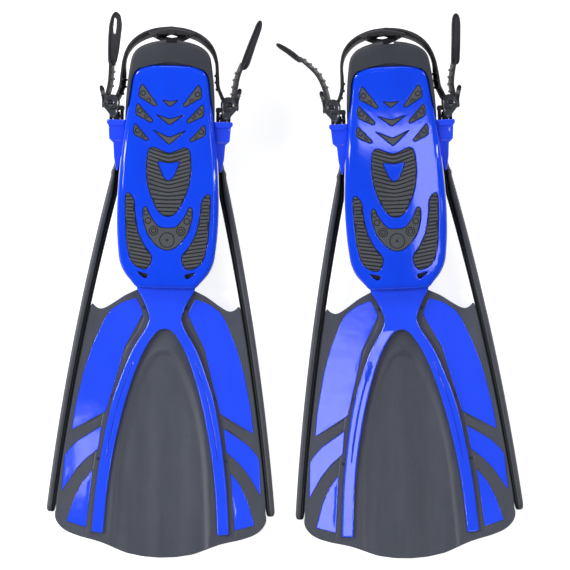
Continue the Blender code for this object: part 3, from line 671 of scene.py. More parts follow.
def noise(tree, scale, detail=3.0, rough=0.55, stretch=(1.0, 1.0, 1.0)):
    """Noise over the object's own coordinates; scale is in cells per metre."""
    place = add_node(tree, "ShaderNodeTexCoord")
    mapping = add_node(tree, "ShaderNodeMapping")
    mapping.inputs["Scale"].default_value = stretch
    texture = add_node(tree, "ShaderNodeTexNoise", Scale=scale, Detail=detail, Roughness=rough)
    tree.links.new(place.outputs["Object"], mapping.inputs["Vector"])
    tree.links.new(mapping.outputs["Vector"], texture.inputs["Vector"])
    return texture.outputs["Fac"]


def ramp(tree, value, low, high, start=0.3, end=0.7):
    node = add_node(tree, "ShaderNodeMapRange")
    node.inputs["From Min"].default_value = start
    node.inputs["From Max"].default_value = end
    node.inputs["To Min"].default_value = low
    node.inputs["To Max"].default_value = high
    tree.links.new(value, node.inputs["Value"])
    return node.outputs["Result"]


def blend_colours(tree, amount, first, second):
    node = add_node(tree, "ShaderNodeMix", data_type="RGBA")
    for socket, colour in ((node.inputs[6], first), (node.inputs[7], second)):
        if isinstance(colour, tuple):
            socket.default_value = (*colour, 1.0)
        else:
            tree.links.new(colour, socket)
    tree.links.new(amount, node.inputs[0])
    return node.outputs[2]


def attribute(tree, name):
    node = add_node(tree, "ShaderNodeAttribute", attribute_name=name)
    return node.outputs["Fac"]


def bump(tree, layers, shader):
    """Stack bump layers, each (height, strength, distance in metres), on the shader's normal."""
    normal = None
    for height, strength, reach in layers:
        node = add_node(tree, "ShaderNodeBump", Strength=strength, Distance=reach)
        tree.links.new(height, node.inputs["Height"])
        if normal:
            tree.links.new(normal, node.inputs["Normal"])
        normal = node.outputs["Normal"]
    tree.links.new(normal, shader.inputs["Normal"])


def scaled(colour, factor, extra=0.0):
    return tuple(min(1.0, c * factor + extra) for c in colour)


def edges_and_painted_shade(tree, base, patches, worn, dark):
    """Lay the worn colour on the edges, in patches, and a dark colour as painted shade in the grooves,
    creases and gaps.
    """
    rub = add_node(tree, "ShaderNodeMath", operation="MULTIPLY")
    tree.links.new(attribute(tree, "wear"), rub.inputs[0])
    tree.links.new(patches, rub.inputs[1])
    base = blend_colours(tree, rub.outputs[0], base, worn)
    # The dark colour laid where the groove attribute is high is painted shade.
    return blend_colours(tree, attribute(tree, "groove"), base, dark)


def gloss_plastic(name, colour, deep, rough, coat, ior=1.5):
    """Shiny moulded plastic: slight flow marks, orange peel, fine rubbed edges and painted shade in its
    creases.
    """
    material, tree, shader = new_material(name)
    flow = ramp(tree, noise(tree, 28, 4, 0.6, (1, 0.35, 1)), 0, 1, 0.35, 0.68)
    base = blend_colours(tree, flow, colour, deep)
    patches = ramp(tree, noise(tree, 220, 4), 0, 0.5, 0.45, 0.75)
    # The last colour is the painted shade for the creases.
    base = edges_and_painted_shade(tree, base, patches, scaled(colour, 1.05, 0.05), scaled(deep, 0.3))
    tree.links.new(base, shader.inputs["Base Color"])
    tree.links.new(ramp(tree, noise(tree, 160, 5, 0.7), *rough), shader.inputs["Roughness"])
    shader.inputs["IOR"].default_value = ior
    shader.inputs["Coat Weight"].default_value = coat
    shader.inputs["Coat Roughness"].default_value = 0.02
    scratch = noise(tree, 420, 2, 0.5, (1, 0.06, 1))
    bump(tree, [
        (noise(tree, 55, 2), 0.08, 0.0003),
        (noise(tree, 900, 2), 0.05, 0.00012),
        (scratch, 0.04, 0.0001),
    ], shader)
    return material


def rubber(name, colour, light, rough=(0.5, 0.68), grain=1500, grain_strength=0.35, dust=0.25, streaks=0.5,
           shine=0.5):
    """Moulded rubber: fine grain, soft mottling, pale rubbed edges and painted shade in its grooves."""
    material, tree, shader = new_material(name)
    mottle = ramp(tree, noise(tree, 42, 5, 0.62, (1, streaks, 1)), 0, 1, 0.3, 0.72)
    base = blend_colours(tree, mottle, colour, light)
    speck = ramp(tree, noise(tree, 700, 3, 0.7), 0, dust, 0.5, 0.8)
    base = blend_colours(tree, speck, base, scaled(light, 1.7, 0.02))
    patches = ramp(tree, noise(tree, 260, 4), 0.1, 0.6, 0.35, 0.7)
    # The last colour is the painted shade for the grooves.
    base = edges_and_painted_shade(tree, base, patches, scaled(light, 1.6, 0.01), scaled(colour, 0.18))
    tree.links.new(base, shader.inputs["Base Color"])
    tree.links.new(ramp(tree, noise(tree, 90, 4, 0.6), *rough), shader.inputs["Roughness"])
    shader.inputs["IOR"].default_value = 1.5
    shader.inputs["Specular IOR Level"].default_value = shine
    bump(tree, [
        (noise(tree, 120, 3), 0.12, 0.0006),
        (noise(tree, grain, 2), grain_strength, 0.00012),
    ], shader)
    return material


def hard_plastic(name, colour, light, rough):
    return rubber(name, colour, light, rough, 2200, 0.12, 0.1)


def blue(name, colour, deep, rough, coat, ior=1.5):
    return gloss_plastic(f"blue_{name}_plastic", colour, deep, rough, coat, ior)


def build_materials():
    black, black_light = (0.010, 0.010, 0.013), (0.016, 0.016, 0.020)
    return {
        "shell": blue("shell", (0.0, 0.056, 0.84), (0.0, 0.048, 0.77), (0.02, 0.05), 0.2, 1.42),
        # The neck and the blade panels get lighter copies of the shell's blue: painted light, for the
        # brighter look their different slope gives them under the lamps.
        "neck": blue("neck", (0.010, 0.066, 0.92), (0.006, 0.058, 0.85), (0.02, 0.05), 0.35),
        "panel": blue("panel", (0.013, 0.067, 0.93), (0.008, 0.059, 0.86), (0.02, 0.05), 0.4),
        "lug": blue("lug", (0.012, 0.064, 0.90), (0.008, 0.055, 0.82), (0.04, 0.10), 0.4),
        "pocket": rubber("pocket_rubber", (0.021, 0.023, 0.034), (0.029, 0.032, 0.045)),
        "blade": rubber("blade_rubber", (0.042, 0.047, 0.065), (0.062, 0.069, 0.091), (0.34, 0.48),
                        streaks=0.14),
        "tread": rubber("tread_rubber", (0.054, 0.059, 0.069), (0.072, 0.077, 0.089), (0.6, 0.75)),
        "rail": rubber("rail_rubber", (0.037, 0.041, 0.052), (0.050, 0.055, 0.068), (0.38, 0.5)),
        "strap": rubber("strap_rubber", (0.024, 0.024, 0.029), (0.036, 0.036, 0.042), (0.42, 0.58),
                        shine=0.18),
        "plate": hard_plastic("plate_plastic", (0.026, 0.028, 0.036), (0.040, 0.044, 0.055), (0.14, 0.24)),
        "buckle": hard_plastic("buckle_plastic", black, black_light, (0.14, 0.24)),
        "pad": hard_plastic("pad_rubber", black, black_light, (0.42, 0.55)),
        "pin": hard_plastic("pin_plastic", (0.020, 0.020, 0.023), (0.030, 0.030, 0.034), (0.25, 0.38)),
    }


# Sole side

def shell_outline():
    return soften(outline_from_widths(SHELL_HALF), 8, 3)


def pad_outlines():
    """Every tread window: (name, softened outline)."""
    pads = [("centre", soften(both_sides(CENTRE_PAD_HALF), 4, 3))]
    pads += [("toe", soften(both_sides(TOE_PAD_HALF), 4, 3))]
    pads += [(f"chevron_{i}", soften(outline, 2.2, 4)) for i, outline in enumerate(CHEVRONS)]
    paired = [(f"row_{i}", outline, 2.4, 4) for i, outline in enumerate(ROW_PADS)]
    paired.append(("side", SIDE_PAD, 4, 3))
    for name, outline, reach, steps in paired:
        pads.append((f"{name}_right", soften(outline, reach, steps)))
        pads.append((f"{name}_left", soften(mirrored(outline), reach, steps)))
    return pads


def drains():
    return [soften(DRAIN, 2, 3), soften(mirrored(DRAIN), 2, 3)]


def island_outline():
    return soften(both_sides(ISLAND_HALF), 2, 3)


def build_shell(fin, materials):
    def top(x, y, gap):
        return crowned_sole(x, y) - EDGE_BEVEL_SLOPE * soft_past(EDGE_BEVEL - gap, 0.1)

    def bottom(x, y, gap):
        return sole_z(y) - np.where(gap < SHELL_WALL + 0.15, SHELL_SKIRT, SHELL_PLATE)

    windows = [outline for _, outline in pad_outlines()]
    insets = [SHELL_WALL, SHELL_WALL + 0.3] + [EDGE_BEVEL + step for step in (-0.7, -0.25, 0.2, 0.8)]
    plate = moulded(shell_outline(), top, bottom, SHELL_ROUND, windows + drains(), extra_insets=insets)
    island = moulded(island_outline(), lambda x, y, gap: crowned_sole(x, y) - ISLAND_DROP,
                     lambda x, y, gap: sole_z(y) - SHELL_PLATE, ISLAND_ROUND, spacing=3.0)
    add_piece(fin, "sole_plate", merge([plate, island]), materials["shell"], "fin",
              ["sole_shell"])


def rib_middle(side):
    """Middle line of a rib, where a fine crease runs."""
    outer = smooth(RIB_OUTER[6:], 4)
    inner = smooth(RIB_INNER[:7][::-1], 4)
    stations = np.linspace(205, 105, 61)
    xs = [0.5 * (np.interp(-y, -outer[:, 1], outer[:, 0]) + np.interp(-y, -inner[:, 1], inner[:, 0]))
          for y in stations]
    return [(side * x, y) for x, y in zip(xs, stations)]


def rows_beside(paths, shifts):
    """Each path, moved sideways by each of the shifts."""
    return [np.array(path) + (shift, 0) for path in paths for shift in shifts]


def crease_dip(near):
    """Share of a crease's depth at a distance from its line."""
    return np.clip(1 - (near / CREASE_HALF) ** 2, 0, 1) ** 2


def build_neck(fin, materials):
    creases = [rib_middle(1), rib_middle(-1)]

    def top(x, y, gap):
        swell = NECK_SWELL * step_up(y, 215, 262) * np.clip(1 - (x / 26.0) ** 2, 0, 1)
        swell = swell - NECK_FLATTENING * soft_past(y - NECK_FORK_Y, 16)
        return rib_top(y) - CREASE_DEPTH * crease_dip(nearest_of(x, y, creases)) + swell - NECK_DROP

    # Painted shade: the colour is darkened along each rib's fine crease.
    def shade(x, y):
        return 0.8 * crease_dip(nearest_of(x, y, creases))

    outline = soften(both_sides([*smooth(RIB_OUTER, 3), *smooth(RIB_INNER, 3)]), 1.4, 3)
    rows = rows_beside(creases, (-1.3, -0.9, -0.7, -0.35, 0, 0.35, 0.7, 0.9, 1.3))
    neck = moulded(offset(outline, NECK_OVERLAP), top, lambda x, y, gap: rib_bottom(y), RIB_ROUND,
                   spacing=3.0, lines=rows, groove=shade)
    add_piece(fin, "neck_and_ribs", neck, materials["neck"], "fin")


def groove_dip(offset_from_line):
    """Share of a groove's depth at a distance from its line."""
    return np.clip(1 - (np.abs(offset_from_line) / GROOVE_HALF) ** 3, 0, 1)


def centre_rise(c):
    """How far a groove of the centre pad rises by 24 mm out, for a groove that starts at c."""
    return 8.0 * step_up(c, 368, 396)


def centre_line(c, x):
    return c + centre_rise(c) * (np.sqrt((np.abs(x) / 24.0) ** 2 + 0.02) - 0.14)


def parallel_grooves(line, first, pitch, x, y):
    """Dips along line(c, x) for every c that is a whole number of pitches from first; also gives c."""
    c = y.copy()
    for _ in range(12):
        c = y - (line(c, x) - c)
    phase = (c - first) / pitch
    return groove_dip((phase - np.round(phase)) * pitch), c


def centre_grooves(x, y):
    return parallel_grooves(centre_line, CENTRE_START, CENTRE_PITCH, x, y)[0]


def side_line(c, x):
    lean = 0.16 * (1 - step_up(c, 335, 375))
    return c + lean * (np.abs(x) - 35)


def side_grooves(x, y):
    dip, c = parallel_grooves(side_line, SIDE_START, SIDE_PITCH, x, y)
    return dip * step_up(c, 305.5, 306.5) * (1 - step_up(c, 381, 382))


def ring_grooves(rings):
    def shade(x, y):
        dip = np.zeros(len(x))
        for cx, cy, radius in rings:
            away = np.hypot(x - cx, y - cy)
            dip = np.maximum(dip, np.clip(1 - ((away - radius) / RING_HALF) ** 2, 0, 1))
        return dip
    return shade


def rows_for(line, starts, xs):
    """Rows of points along and beside the line of each groove."""
    shifts = (-0.78, -0.5, 0, 0.5, 0.78)
    return [np.column_stack([xs, line(c, xs) + shift]) for c in starts for shift in shifts]


def pad_detail(name):
    """The groove pattern of a pad and the rows of points that carry it."""
    sign = -1 if name.endswith("left") else 1
    if name == "centre":
        starts = np.arange(CENTRE_START, 430, CENTRE_PITCH)
        return centre_grooves, rows_for(centre_line, starts, np.arange(-24, 24.1, 1.2)), GROOVE_DEPTH
    if name.startswith("side"):
        starts = np.arange(SIDE_START + SIDE_PITCH, 381, SIDE_PITCH)
        return side_grooves, rows_for(side_line, starts, sign * np.arange(14, 46, 1.2)), GROOVE_DEPTH
    if name.startswith("chevron"):
        return None, [], 0.0
    rings = TOE_RINGS
    if name.startswith("row"):
        rings = [(sign * x, y, radius) for x, y, radius in ROW_RINGS[int(name[4])]]
    rows = [circle(x, y, radius + RING_HALF * shift, 28)
            for x, y, radius in rings for shift in (-1, -0.5, 0, 0.5, 1)]
    return ring_grooves(rings), rows, RING_DEPTH


def build_tread(fin, materials):
    parts = []
    island = offset(island_outline(), GAP)
    for name, outline in pad_outlines():
        pattern, rows, depth = pad_detail(name)

        def top(x, y, gap, pattern=pattern, depth=depth):
            dip = pattern(x, y) * depth if pattern else 0.0
            return crowned_sole(x, y) + TREAD_PROUD - dip

        holes = [island] if name == "centre" else []
        points, faces, wear, groove = moulded(
            offset(outline, -PAD_GAP), top, lambda x, y, gap: sole_z(y) - TREAD_DEPTH, PAD_ROUND, holes,
            spacing=2.4, lines=rows, groove=pattern)
        # The grooves and rings, and each pad's edge beside its gap, are darkened: painted shade.
        parts.append((points, faces, 0.2 * wear, np.maximum(groove, 0.85 * wear ** 3)))
    add_piece(fin, "tread_pads", merge(parts), materials["tread"], "fin", ["sole_tread"])


# Foot pocket

def arch(half, top, bottom, turn):
    """Points of half a pocket section: a straight side, then an arch down to the middle line."""
    waist = bottom + 0.5 * (top - bottom)
    x = half * np.cos(turn) ** 0.8
    z = waist - (waist - bottom) * np.sin(turn) ** 0.8
    return x, z


def pocket_side(y, half, start_z, top, bottom, floor, count=28):
    """Half section from start_z down to the middle line, or to the heel opening's edge."""
    turn = np.linspace(0, math.pi / 2, 60)
    x, z = arch(half, top, bottom, turn)
    x[-1] = 0.0
    x, z = np.append(half, x), np.append(start_z, z)
    z = np.maximum(z, floor)
    if y > INSTEP_EDGE_Y:
        limit = float(along(OPENING_LINE, y))
        keep = z > limit
        if keep.sum() < 2:
            keep[:2] = True
        edge = int(np.argmin(keep)) if not keep.all() else len(z)
        if edge < len(z):
            t = (z[edge - 1] - limit) / max(z[edge - 1] - z[edge], 1e-6)
            t = min(max(t, 0.0), 1.0)
            x_end = x[edge - 1] + (x[edge] - x[edge - 1]) * t
            x, z = np.append(x[:edge], x_end), np.append(z[:edge], limit)
    run = np.append(0, np.cumsum(np.hypot(np.diff(x), np.diff(z))))
    at = np.linspace(0, run[-1], count)
    return np.column_stack([np.interp(at, run, x), np.full(count, y), np.interp(at, run, z)])


def pocket_stations():
    line = smooth(POCKET_HALF, 3)
    extra = [(y, float(np.interp(y, line[:, 0], line[:, 1]))) for y in
             (446.05, 446.3, 446.6, 447, 447.6, 448.5, 449.6, 451, 453.5, 456, 459, 463, 467)]
    return sorted([tuple(p) for p in line] + extra)


def shoulder(y, half):
    """The pocket's upper edge beside the shell: points from the outer wall to the tread bed."""
    shell = float(along(SHELL_HALF + [(517.3, 0.2), (600, 0.2)], y))
    top = float(sole_z(y))
    lip = half - shell - GAP
    rise = float(step_up(lip, 0.5, 2.2)) if y > 420 else 0.0
    skirt = top - SHELL_SKIRT - GAP
    brim = skirt + (top - skirt) * rise
    bevel = min(2.6 * rise, max(lip * 0.6, 0.0), 2.6)
    points = []
    for angle in (0, 30, 60, 90):
        a = math.radians(angle)
        points.append((half - bevel * (1 - math.cos(a)), brim - bevel * (1 - math.sin(a))))
    recess = shell > 1
    edge = min(shell + GAP, half - 0.02)
    low = skirt if recess else brim
    wall = max(edge - SHELL_WALL - 2 * GAP, 0.1) if recess else 0.1
    bed = top - SHELL_PLATE - GAP if recess else brim
    floor = top - TREAD_DEPTH - GAP if recess else brim
    points += [(edge, brim), (edge, low), (wall, low), (wall, bed), (max(wall - 3, 0.05), bed)]
    points += [(max(wall - 3.3, 0.02), floor), (0.0, floor)]
    return points


def build_pocket(fin, materials):
    stations = pocket_stations()
    outer, inner, rims = [], [], []
    for y, half in stations:
        top = float(sole_z(y))
        upper = shoulder(y, half)
        start = upper[0][1]
        side = pocket_side(y, half, start, top, float(along(INSTEP_LINE, y)), 0.0)
        ridge = np.array([(x, y, z) for x, z in upper[::-1]])
        outer.append(np.concatenate([ridge, side[1:]]))
        if y < CAVITY_HALF[0][0]:
            continue
        room = min(float(along(CAVITY_HALF, y)), half - 4)
        roof = top - SOLE_THICKNESS
        if y > 520:
            room = min(room, max(half - 5, 2))
        low = float(along(INSTEP_LINE, y)) + INSTEP_WALL
        within = pocket_side(y, room, roof, roof, low, -50)
        roof_line = np.array([(x, y, roof) for x in np.linspace(0, room, 8)[:-1]])
        inner.append(np.concatenate([roof_line, within]))
        if y > INSTEP_EDGE_Y:
            rims.append((side[-1], within[-1]))

    def grid(lines, sign, flip):
        block = np.array(lines)
        block[:, :, 0] *= sign
        rows, columns = block.shape[:2]
        faces = []
        for r in range(rows - 1):
            for i in range(columns - 1):
                a, b = r * columns + i, r * columns + i + 1
                quad = (a, b, b + columns, a + columns)
                faces.append(quad[::-1] if flip else quad)
        return raw(block.reshape(-1, 3), faces)

    parts = [grid(outer, 1, False), grid(outer, -1, True), grid(inner, 1, True), grid(inner, -1, False)]
    for sign in (1, -1):
        for lines in (outer[:1], outer[-1:]):
            block = np.array(lines[0])
            block[:, 0] *= sign
            across = block * (0, 1, 1)
            parts.append(grid([block, across], 1, False))
        strip = np.array([[a, b] for a, b in rims]) * (sign, 1, 1)
        parts.append(grid(strip, 1, sign > 0))
    body = weld(merge(parts))
    path = [0.5 * (a + b) for a, b in rims]
    whole = [p * (-1, 1, 1) for p in path[::-1]] + path
    thickness = [np.linalg.norm(a - b) for a, b in rims]
    radii = [min(max(0.5 * t + 0.3, 1.6), 3.6) for t in thickness]
    bead = tube(whole, radii[::-1] + radii)
    add_piece(fin, "foot_pocket", merge([body, bead]), materials["pocket"], "fin",
              ["foot_pocket"], 50)


def weld(part, reach=0.02):
    """Join points that lie in the same place."""
    points, faces, wear, groove = part
    keys = np.round(points / reach).astype(int)
    _, first, index = np.unique(keys, axis=0, return_index=True, return_inverse=True)
    index = index.reshape(-1)
    joined = []
    for face in faces:
        ring = []
        for i in face:
            if index[i] not in ring:
                ring.append(int(index[i]))
        if len(ring) > 2:
            joined.append(tuple(ring))
    return raw(points[first], joined, wear[first], groove[first])


# Blade

def blade_outline():
    edge = [(rail_x(y) - rail_half(y) + 0.6, y) for y in (60, 110, 160, 210, 260)]
    right = BLADE_TIP_EDGE[::-1] + edge + BLADE_ROOT_EDGE
    return soften(right + [(-x, y) for x, y in reversed(right) if x > 0.01], 3.5, 3)


def panel_outline(name, side):
    outline = PANELS[name] if side > 0 else mirrored(PANELS[name])
    return soften(outline, 1.8 if name == "root" else 1.3, 3)


def seam_path(side):
    """A fine groove beside each rib, at the outer side of the rubber strip."""
    outer = smooth(RIB_OUTER[3:], 5)
    ahead = np.gradient(outer, axis=0)
    ahead /= np.linalg.norm(ahead, axis=1)[:, None]
    shifted = outer + np.column_stack([-ahead[:, 1], ahead[:, 0]]) * SEAM_OFFSET
    return [(side * x, y) for x, y in shifted if y > 24]


def scoop_loop():
    half = SCOOP_EDGE[:-1] + [(51, 14), (51.5, -12), (0, -12)]
    return soften(both_sides(half), 14, 4)


def build_blade(fin, materials):
    scoop = scoop_loop()
    seams = [seam_path(side) for side in (1, -1)]
    rib_edges = [[(side * x, y) for x, y in smooth(RIB_OUTER, 4)] for side in (1, -1)]

    def depth_in_scoop(x, y):
        points = np.column_stack([x, y])
        away = distance(points, scoop)
        return np.where(inside(points, scoop), away, -away)

    def top(x, y, gap):
        within = depth_in_scoop(x, y)
        hollow = SCOOP_DEPTH * step_up(within, -0.6, 4.2)
        waves = WAVE_HEIGHT * np.cos(x / WAVE_STEP) * step_up(within, 3, 14) * (1 - step_up(y, 120, 200))
        bead = BEAD_HEIGHT * np.exp(-((within + 2.6) / 1.5) ** 2) * step_up(y, 8, 30)
        seam = SEAM_DEPTH * np.exp(-(nearest_of(x, y, seams) / SEAM_WIDTH) ** 2)
        return blade_z(y) + BLADE_HALF_THICKNESS - hollow + waves + bead - seam

    # Painted shade along the fine seams, and painted shadow on the blade along the foot of each rib.
    def shade(x, y):
        seam = 0.8 * np.exp(-(nearest_of(x, y, seams) / SEAM_WIDTH) ** 2)
        return np.maximum(seam, 0.7 * np.exp(-(nearest_of(x, y, rib_edges) / 0.6) ** 2))

    rows = [resample(offset(scoop, -inset), 2.5) for inset in (-4.6, -3.6, -2.6, -1.6, -0.6, 0.6, 2.0, 3.4)]
    rows += rows_beside([resample(path, 1.8, False) for path in seams],
                        (-1.2, -0.9, -0.45, 0, 0.45, 0.9, 1.2))
    for side, path in zip((1, -1), rib_edges):
        rows += rows_beside([resample(path, 2.0, False)], [side * shift for shift in (0.0, 0.9, 1.8)])
    holes = [panel_outline(name, side) for name in PANELS for side in (1, -1)]
    blade = moulded(blade_outline(), top, lambda x, y, gap: blade_z(y) - BLADE_HALF_THICKNESS, 1.0,
                    holes, 0.6, 0.4, lines=rows, groove=shade)
    studs = [stud(side * x, y, radius) for side in (1, -1) for x, y, radius in BLADE_STUDS]
    add_piece(fin, "blade", merge([unworn(blade), *studs]), materials["blade"], "fin",
              ["blade"])


def stud(x, y, radius):
    """A small dark button with a dished top."""
    profile = [(-0.5, radius), (0.35, radius), (0.7, radius - 0.3), (0.75, radius - 0.9), (0.3, 0.4)]
    points, faces, wear, groove = turned(profile, (x, y, blade_z(y) + BLADE_HALF_THICKNESS), "z", 20)
    return points, faces, wear, groove + 0.6


def resample(path, spacing, closed=True):
    path = np.array(path, float)
    if closed:
        path = np.concatenate([path, path[:1]])
    run = np.append(0, np.cumsum(np.linalg.norm(np.diff(path, axis=0), axis=1)))
    at = np.linspace(0, run[-1], max(int(run[-1] / spacing), 3))
    return np.column_stack([np.interp(at, run, path[:, k]) for k in (0, 1)])


def build_panels(fin, materials):
    for name in PANELS:
        for place, side in (("outer", fin[3]), ("inner", -fin[3])):
            outline = offset(panel_outline(name, side), PANEL_OVERLAP)

            def top(x, y, gap):
                return blade_z(y) + BLADE_HALF_THICKNESS + PANEL_PROUD

            def bottom(x, y, gap):
                return blade_z(y) - BLADE_HALF_THICKNESS

            panel = unworn(moulded(outline, top, bottom, 0.35, spacing=3.5, under=0.3))
            add_piece(fin, f"panel_{place}_{name}", panel, materials["panel"], "fin",
                      [f"blade_panel_{place}_{name}"])


# Side rails: across from the outer face to the inner one, as (share of the width, share of the height)
RAIL_SECTION = [
    (0.0, 0.22), (0.0, 0.72), (0.03, 0.86), (0.10, 0.96), (0.2, 1.0), (0.36, 1.0), (0.5, 0.99), (0.56, 0.95),
    (0.59, 0.84), (0.61, 0.66), (0.66, 0.58), (0.8, 0.56), (0.88, 0.6), (0.91, 0.7), (0.95, 0.73), (1.0, 0.7),
    (1.0, 0.22), (0.95, 0.08), (0.85, 0.0), (0.15, 0.0), (0.05, 0.08),
]
# and the painted shade at each of those points, darkest in the groove and along the inner lip and inner face
RAIL_PAINTED_SHADE = [*[0] * 7, 0.1, 0.7, 1.0, 1.0, 1.0, 1.0, 0.85, 0.7, 0.8, 0.6, 0, 0, 0, 0]


def build_rail(fin, place, side, materials):
    stations = np.unique(np.concatenate([
        RAIL_TIP_Y + np.array([0, 0.6, 1.6, 3.2, 6]), np.arange(56, 396, 6.0), np.arange(396, 426.1, 1.5),
    ]))
    rings, groove = [], []
    for y in stations:
        middle, half = rail_x(y), rail_half(y)
        outer = middle + half
        inner = max(middle - half, float(along(POCKET_HALF, y)) + 2 * GAP)
        if y > RAIL_THIN_Y:
            outer = max(outer, inner + RAIL_LEAST_WIDTH)
        outer += math.exp(-((y - RAIL_KNOT_Y) / 2.6) ** 2)
        rise = blade_z(y) - 0.6
        top = rise + RAIL_TOP[0] + RAIL_TOP[1] * y / RAIL_ROOT_Y
        low = max(rise - RAIL_FALL[0] - RAIL_FALL[1] * y / RAIL_ROOT_Y, 0.0) if y > 60 else 0.0
        tip = 1 - math.sqrt(max(0.0, 1 - (1 - min((y - RAIL_TIP_Y) / 6.0, 1)) ** 2))
        outer -= RAIL_TIP_ROUND[0] * tip
        inner += RAIL_TIP_ROUND[1] * tip
        top -= RAIL_TIP_ROUND[2] * tip
        rings.append([(side * (outer + (inner - outer) * u), y, low + (top - low) * v)
                      for u, v in RAIL_SECTION])
        # painted shade, one value for each point of the section
        groove += RAIL_PAINTED_SHADE
    rail = loft(rings, groove=np.array(groove))
    add_piece(fin, f"side_rail_{place}", rail, materials["rail"], "fin",
              [f"side_rail_{place}"], 60)


# Strap hardware

def flat_at(height):
    return lambda x, y, gap: np.full(len(x), height)


def at_side(points, side):
    return np.array([(side * x, y) for x, y in points], float)


def knuckle(reach_y, x0, x1):
    """An eye round the swivel axis, with a root that runs to reach_y; its edges are rounded."""
    first = -90 if reach_y < SWIVEL_Y else 90
    turn = arc(SWIVEL_Y, STRAP_Z, KNUCKLE_RADIUS, first, first + 180, 17)
    profile = np.array(turn + [(reach_y, turn[-1][1]), (reach_y, turn[0][1])])
    low, high = min(x0, x1), max(x0, x1)
    half = [(0, 0.6), (0.2, 0.2), (0.6, 0)]
    steps = [(low + step, inset) for step, inset in half]
    steps += [(high - step, inset) for step, inset in half[::-1]]
    return loft([[(x, y, z) for y, z in offset(profile, -inset)] for x, inset in steps])


def build_lug(fin, place, side, materials):
    outline = [
        (46.4, 459), (65.8, 459), (66.2, 455.2), (64.2, 453.2), (63.2, 438.8), (61, 436.4), (58.8, 435),
        (57.8, 420), (55.4, 407), (53.4, 405.5), (52, 412), (50.6, 420), (48.9, 431),
    ]
    (upper_low, upper_high, upper_rise), (lower_low, lower_high, lower_rise) = LUG_STEPS

    def top(x, y, gap):
        steps = upper_rise * step_up(y, upper_low, upper_high)
        steps = steps - lower_rise * (1 - step_up(y, lower_low, lower_high))
        return sole_z(y) - LUG_DROP + steps - LUG_FALL * (np.abs(x) - 52) + LUG_CLIMB * (y - 457)

    def bottom(x, y, gap):
        return np.where(y > LUG_LIP_Y, STRAP_Z + PLATE_OUTER + 0.5, sole_z(y) - LUG_DEPTH)

    rows = [np.column_stack([side * np.arange(49, 64.5, 1.2), np.full(13, y)])
            for y in (LUG_LIP_Y - 0.1, LUG_LIP_Y + 0.1, upper_low, upper_high, lower_low, lower_high)]
    block = moulded(soften(at_side(outline, side), 1.0, 3), top, bottom, 0.9, spacing=2.5, under=0.3,
                    lines=rows)
    add_piece(fin, f"lug_{place}", block, materials["lug"], "fin", [f"strap_lug_{place}"])
    eye = knuckle(454, side * 52.4, side * 59.6)
    add_piece(fin, f"lug_eye_{place}", eye, materials["buckle"], "fin")
    pin = turned(rounded_pin(SWIVEL_RADIUS, 7.6, 0.6, 0.1), (side * 56, SWIVEL_Y, STRAP_Z), "x", 24)
    add_piece(fin, f"swivel_pin_{place}", pin, materials["pin"], "fin", [f"swivel_pin_{place}"])


def build_buckle(fin, place, side, materials):
    head = arc(61.0, 477.2, 8.2, 190, 0, 22)
    ear = arc(LEVER_X - 0.4, LEVER_Y, 2.6, 20, -80, 7)
    tail = [(64.4, 465.6), (61, 460.4), (56.4, 461), (54.2, 466)]
    outline = soften(at_side(head + ear + tail, side), 1.6, 3)
    eye = (side * ROLLER_X, ROLLER_Y)

    def from_eye(x, y):
        return np.hypot(x - eye[0], y - eye[1])

    def face_up(x, y, gap):
        rim = 0.7 * np.exp(-((gap - 1.3) / 0.5) ** 2)
        return STRAP_Z + PLATE_OUTER - 0.35 - 0.5 * (1 - step_up(from_eye(x, y), 2.6, 3.6)) + rim

    # Painted shade in the dished recess round the roller's eye.
    def shade(x, y):
        return 0.9 * (1 - step_up(from_eye(x, y), 2.4, 3.4))

    rows = [circle(*eye, radius, 26) for radius in (2.2, 2.6, 3.0, 3.4)]
    rows += [offset(outline, -inset) for inset in (0.9, 1.3, 1.8)]
    hole = circle(*eye, PIN_RADIUS + GAP, 20)
    upper = moulded(outline, face_up, flat_at(STRAP_Z + PLATE_INNER), 0.7, [hole], 0.2, 0.3, 1.6, rows, shade)
    flipped = upper[0] * (1, 1, -1) + (0, 0, 2 * STRAP_Z)
    lower = (flipped, [face[::-1] for face in upper[1]], upper[2], upper[3])
    bar = [(47.8, 469), (63.8, 469), (63.8, 471.6), (58, 471.6), (55, 474), (49, 474), (47.8, 472.6)]
    bridge = moulded(soften(at_side(bar, side), 0.7, 3), flat_at(STRAP_Z + PLATE_OUTER - 0.3),
                     flat_at(STRAP_Z - PLATE_OUTER + 0.3), 0.5, under=0.5)
    cheeks = [knuckle(470, side * x0, side * x1) for x0, x1 in ((48.4, 52.1), (59.9, 63.6))]
    add_piece(fin, f"buckle_{place}", merge([upper, lower]), materials["plate"], "strap",
              [f"buckle_{place}"])
    add_piece(fin, f"buckle_bar_{place}", merge([bridge, *cheeks]), materials["buckle"], "strap")
    build_roller(fin, place, side, materials)
    build_lever(fin, place, side, materials)


def build_roller(fin, place, side, materials):
    centre = (side * ROLLER_X, ROLLER_Y, STRAP_Z)
    half = PLATE_INNER - GAP
    profile = rounded_pin(ROLLER_RADIUS, half, 0.5)
    flutes = []
    for position in np.linspace(-half + 1.2, half - 1.2, 9):
        for step, depth in ((-0.5, 0), (0, 0.3), (0.5, 0)):
            flutes.append((position + step, ROLLER_RADIUS - depth))
    middle = [p for p in flutes if abs(p[0]) < half - 0.6]
    roller = turned(profile[:5] + middle + profile[5:], centre, "z", 24)
    add_piece(fin, f"roller_{place}", roller, materials["pin"], f"{place}_roller",
              [f"roller_{place}"])
    pin = turned(rounded_pin(PIN_RADIUS, PLATE_OUTER + 0.3, 0.35, 0.15), centre, "z", 20)
    add_piece(fin, f"roller_pin_{place}", pin, materials["pin"], "strap", [f"roller_pin_{place}"])


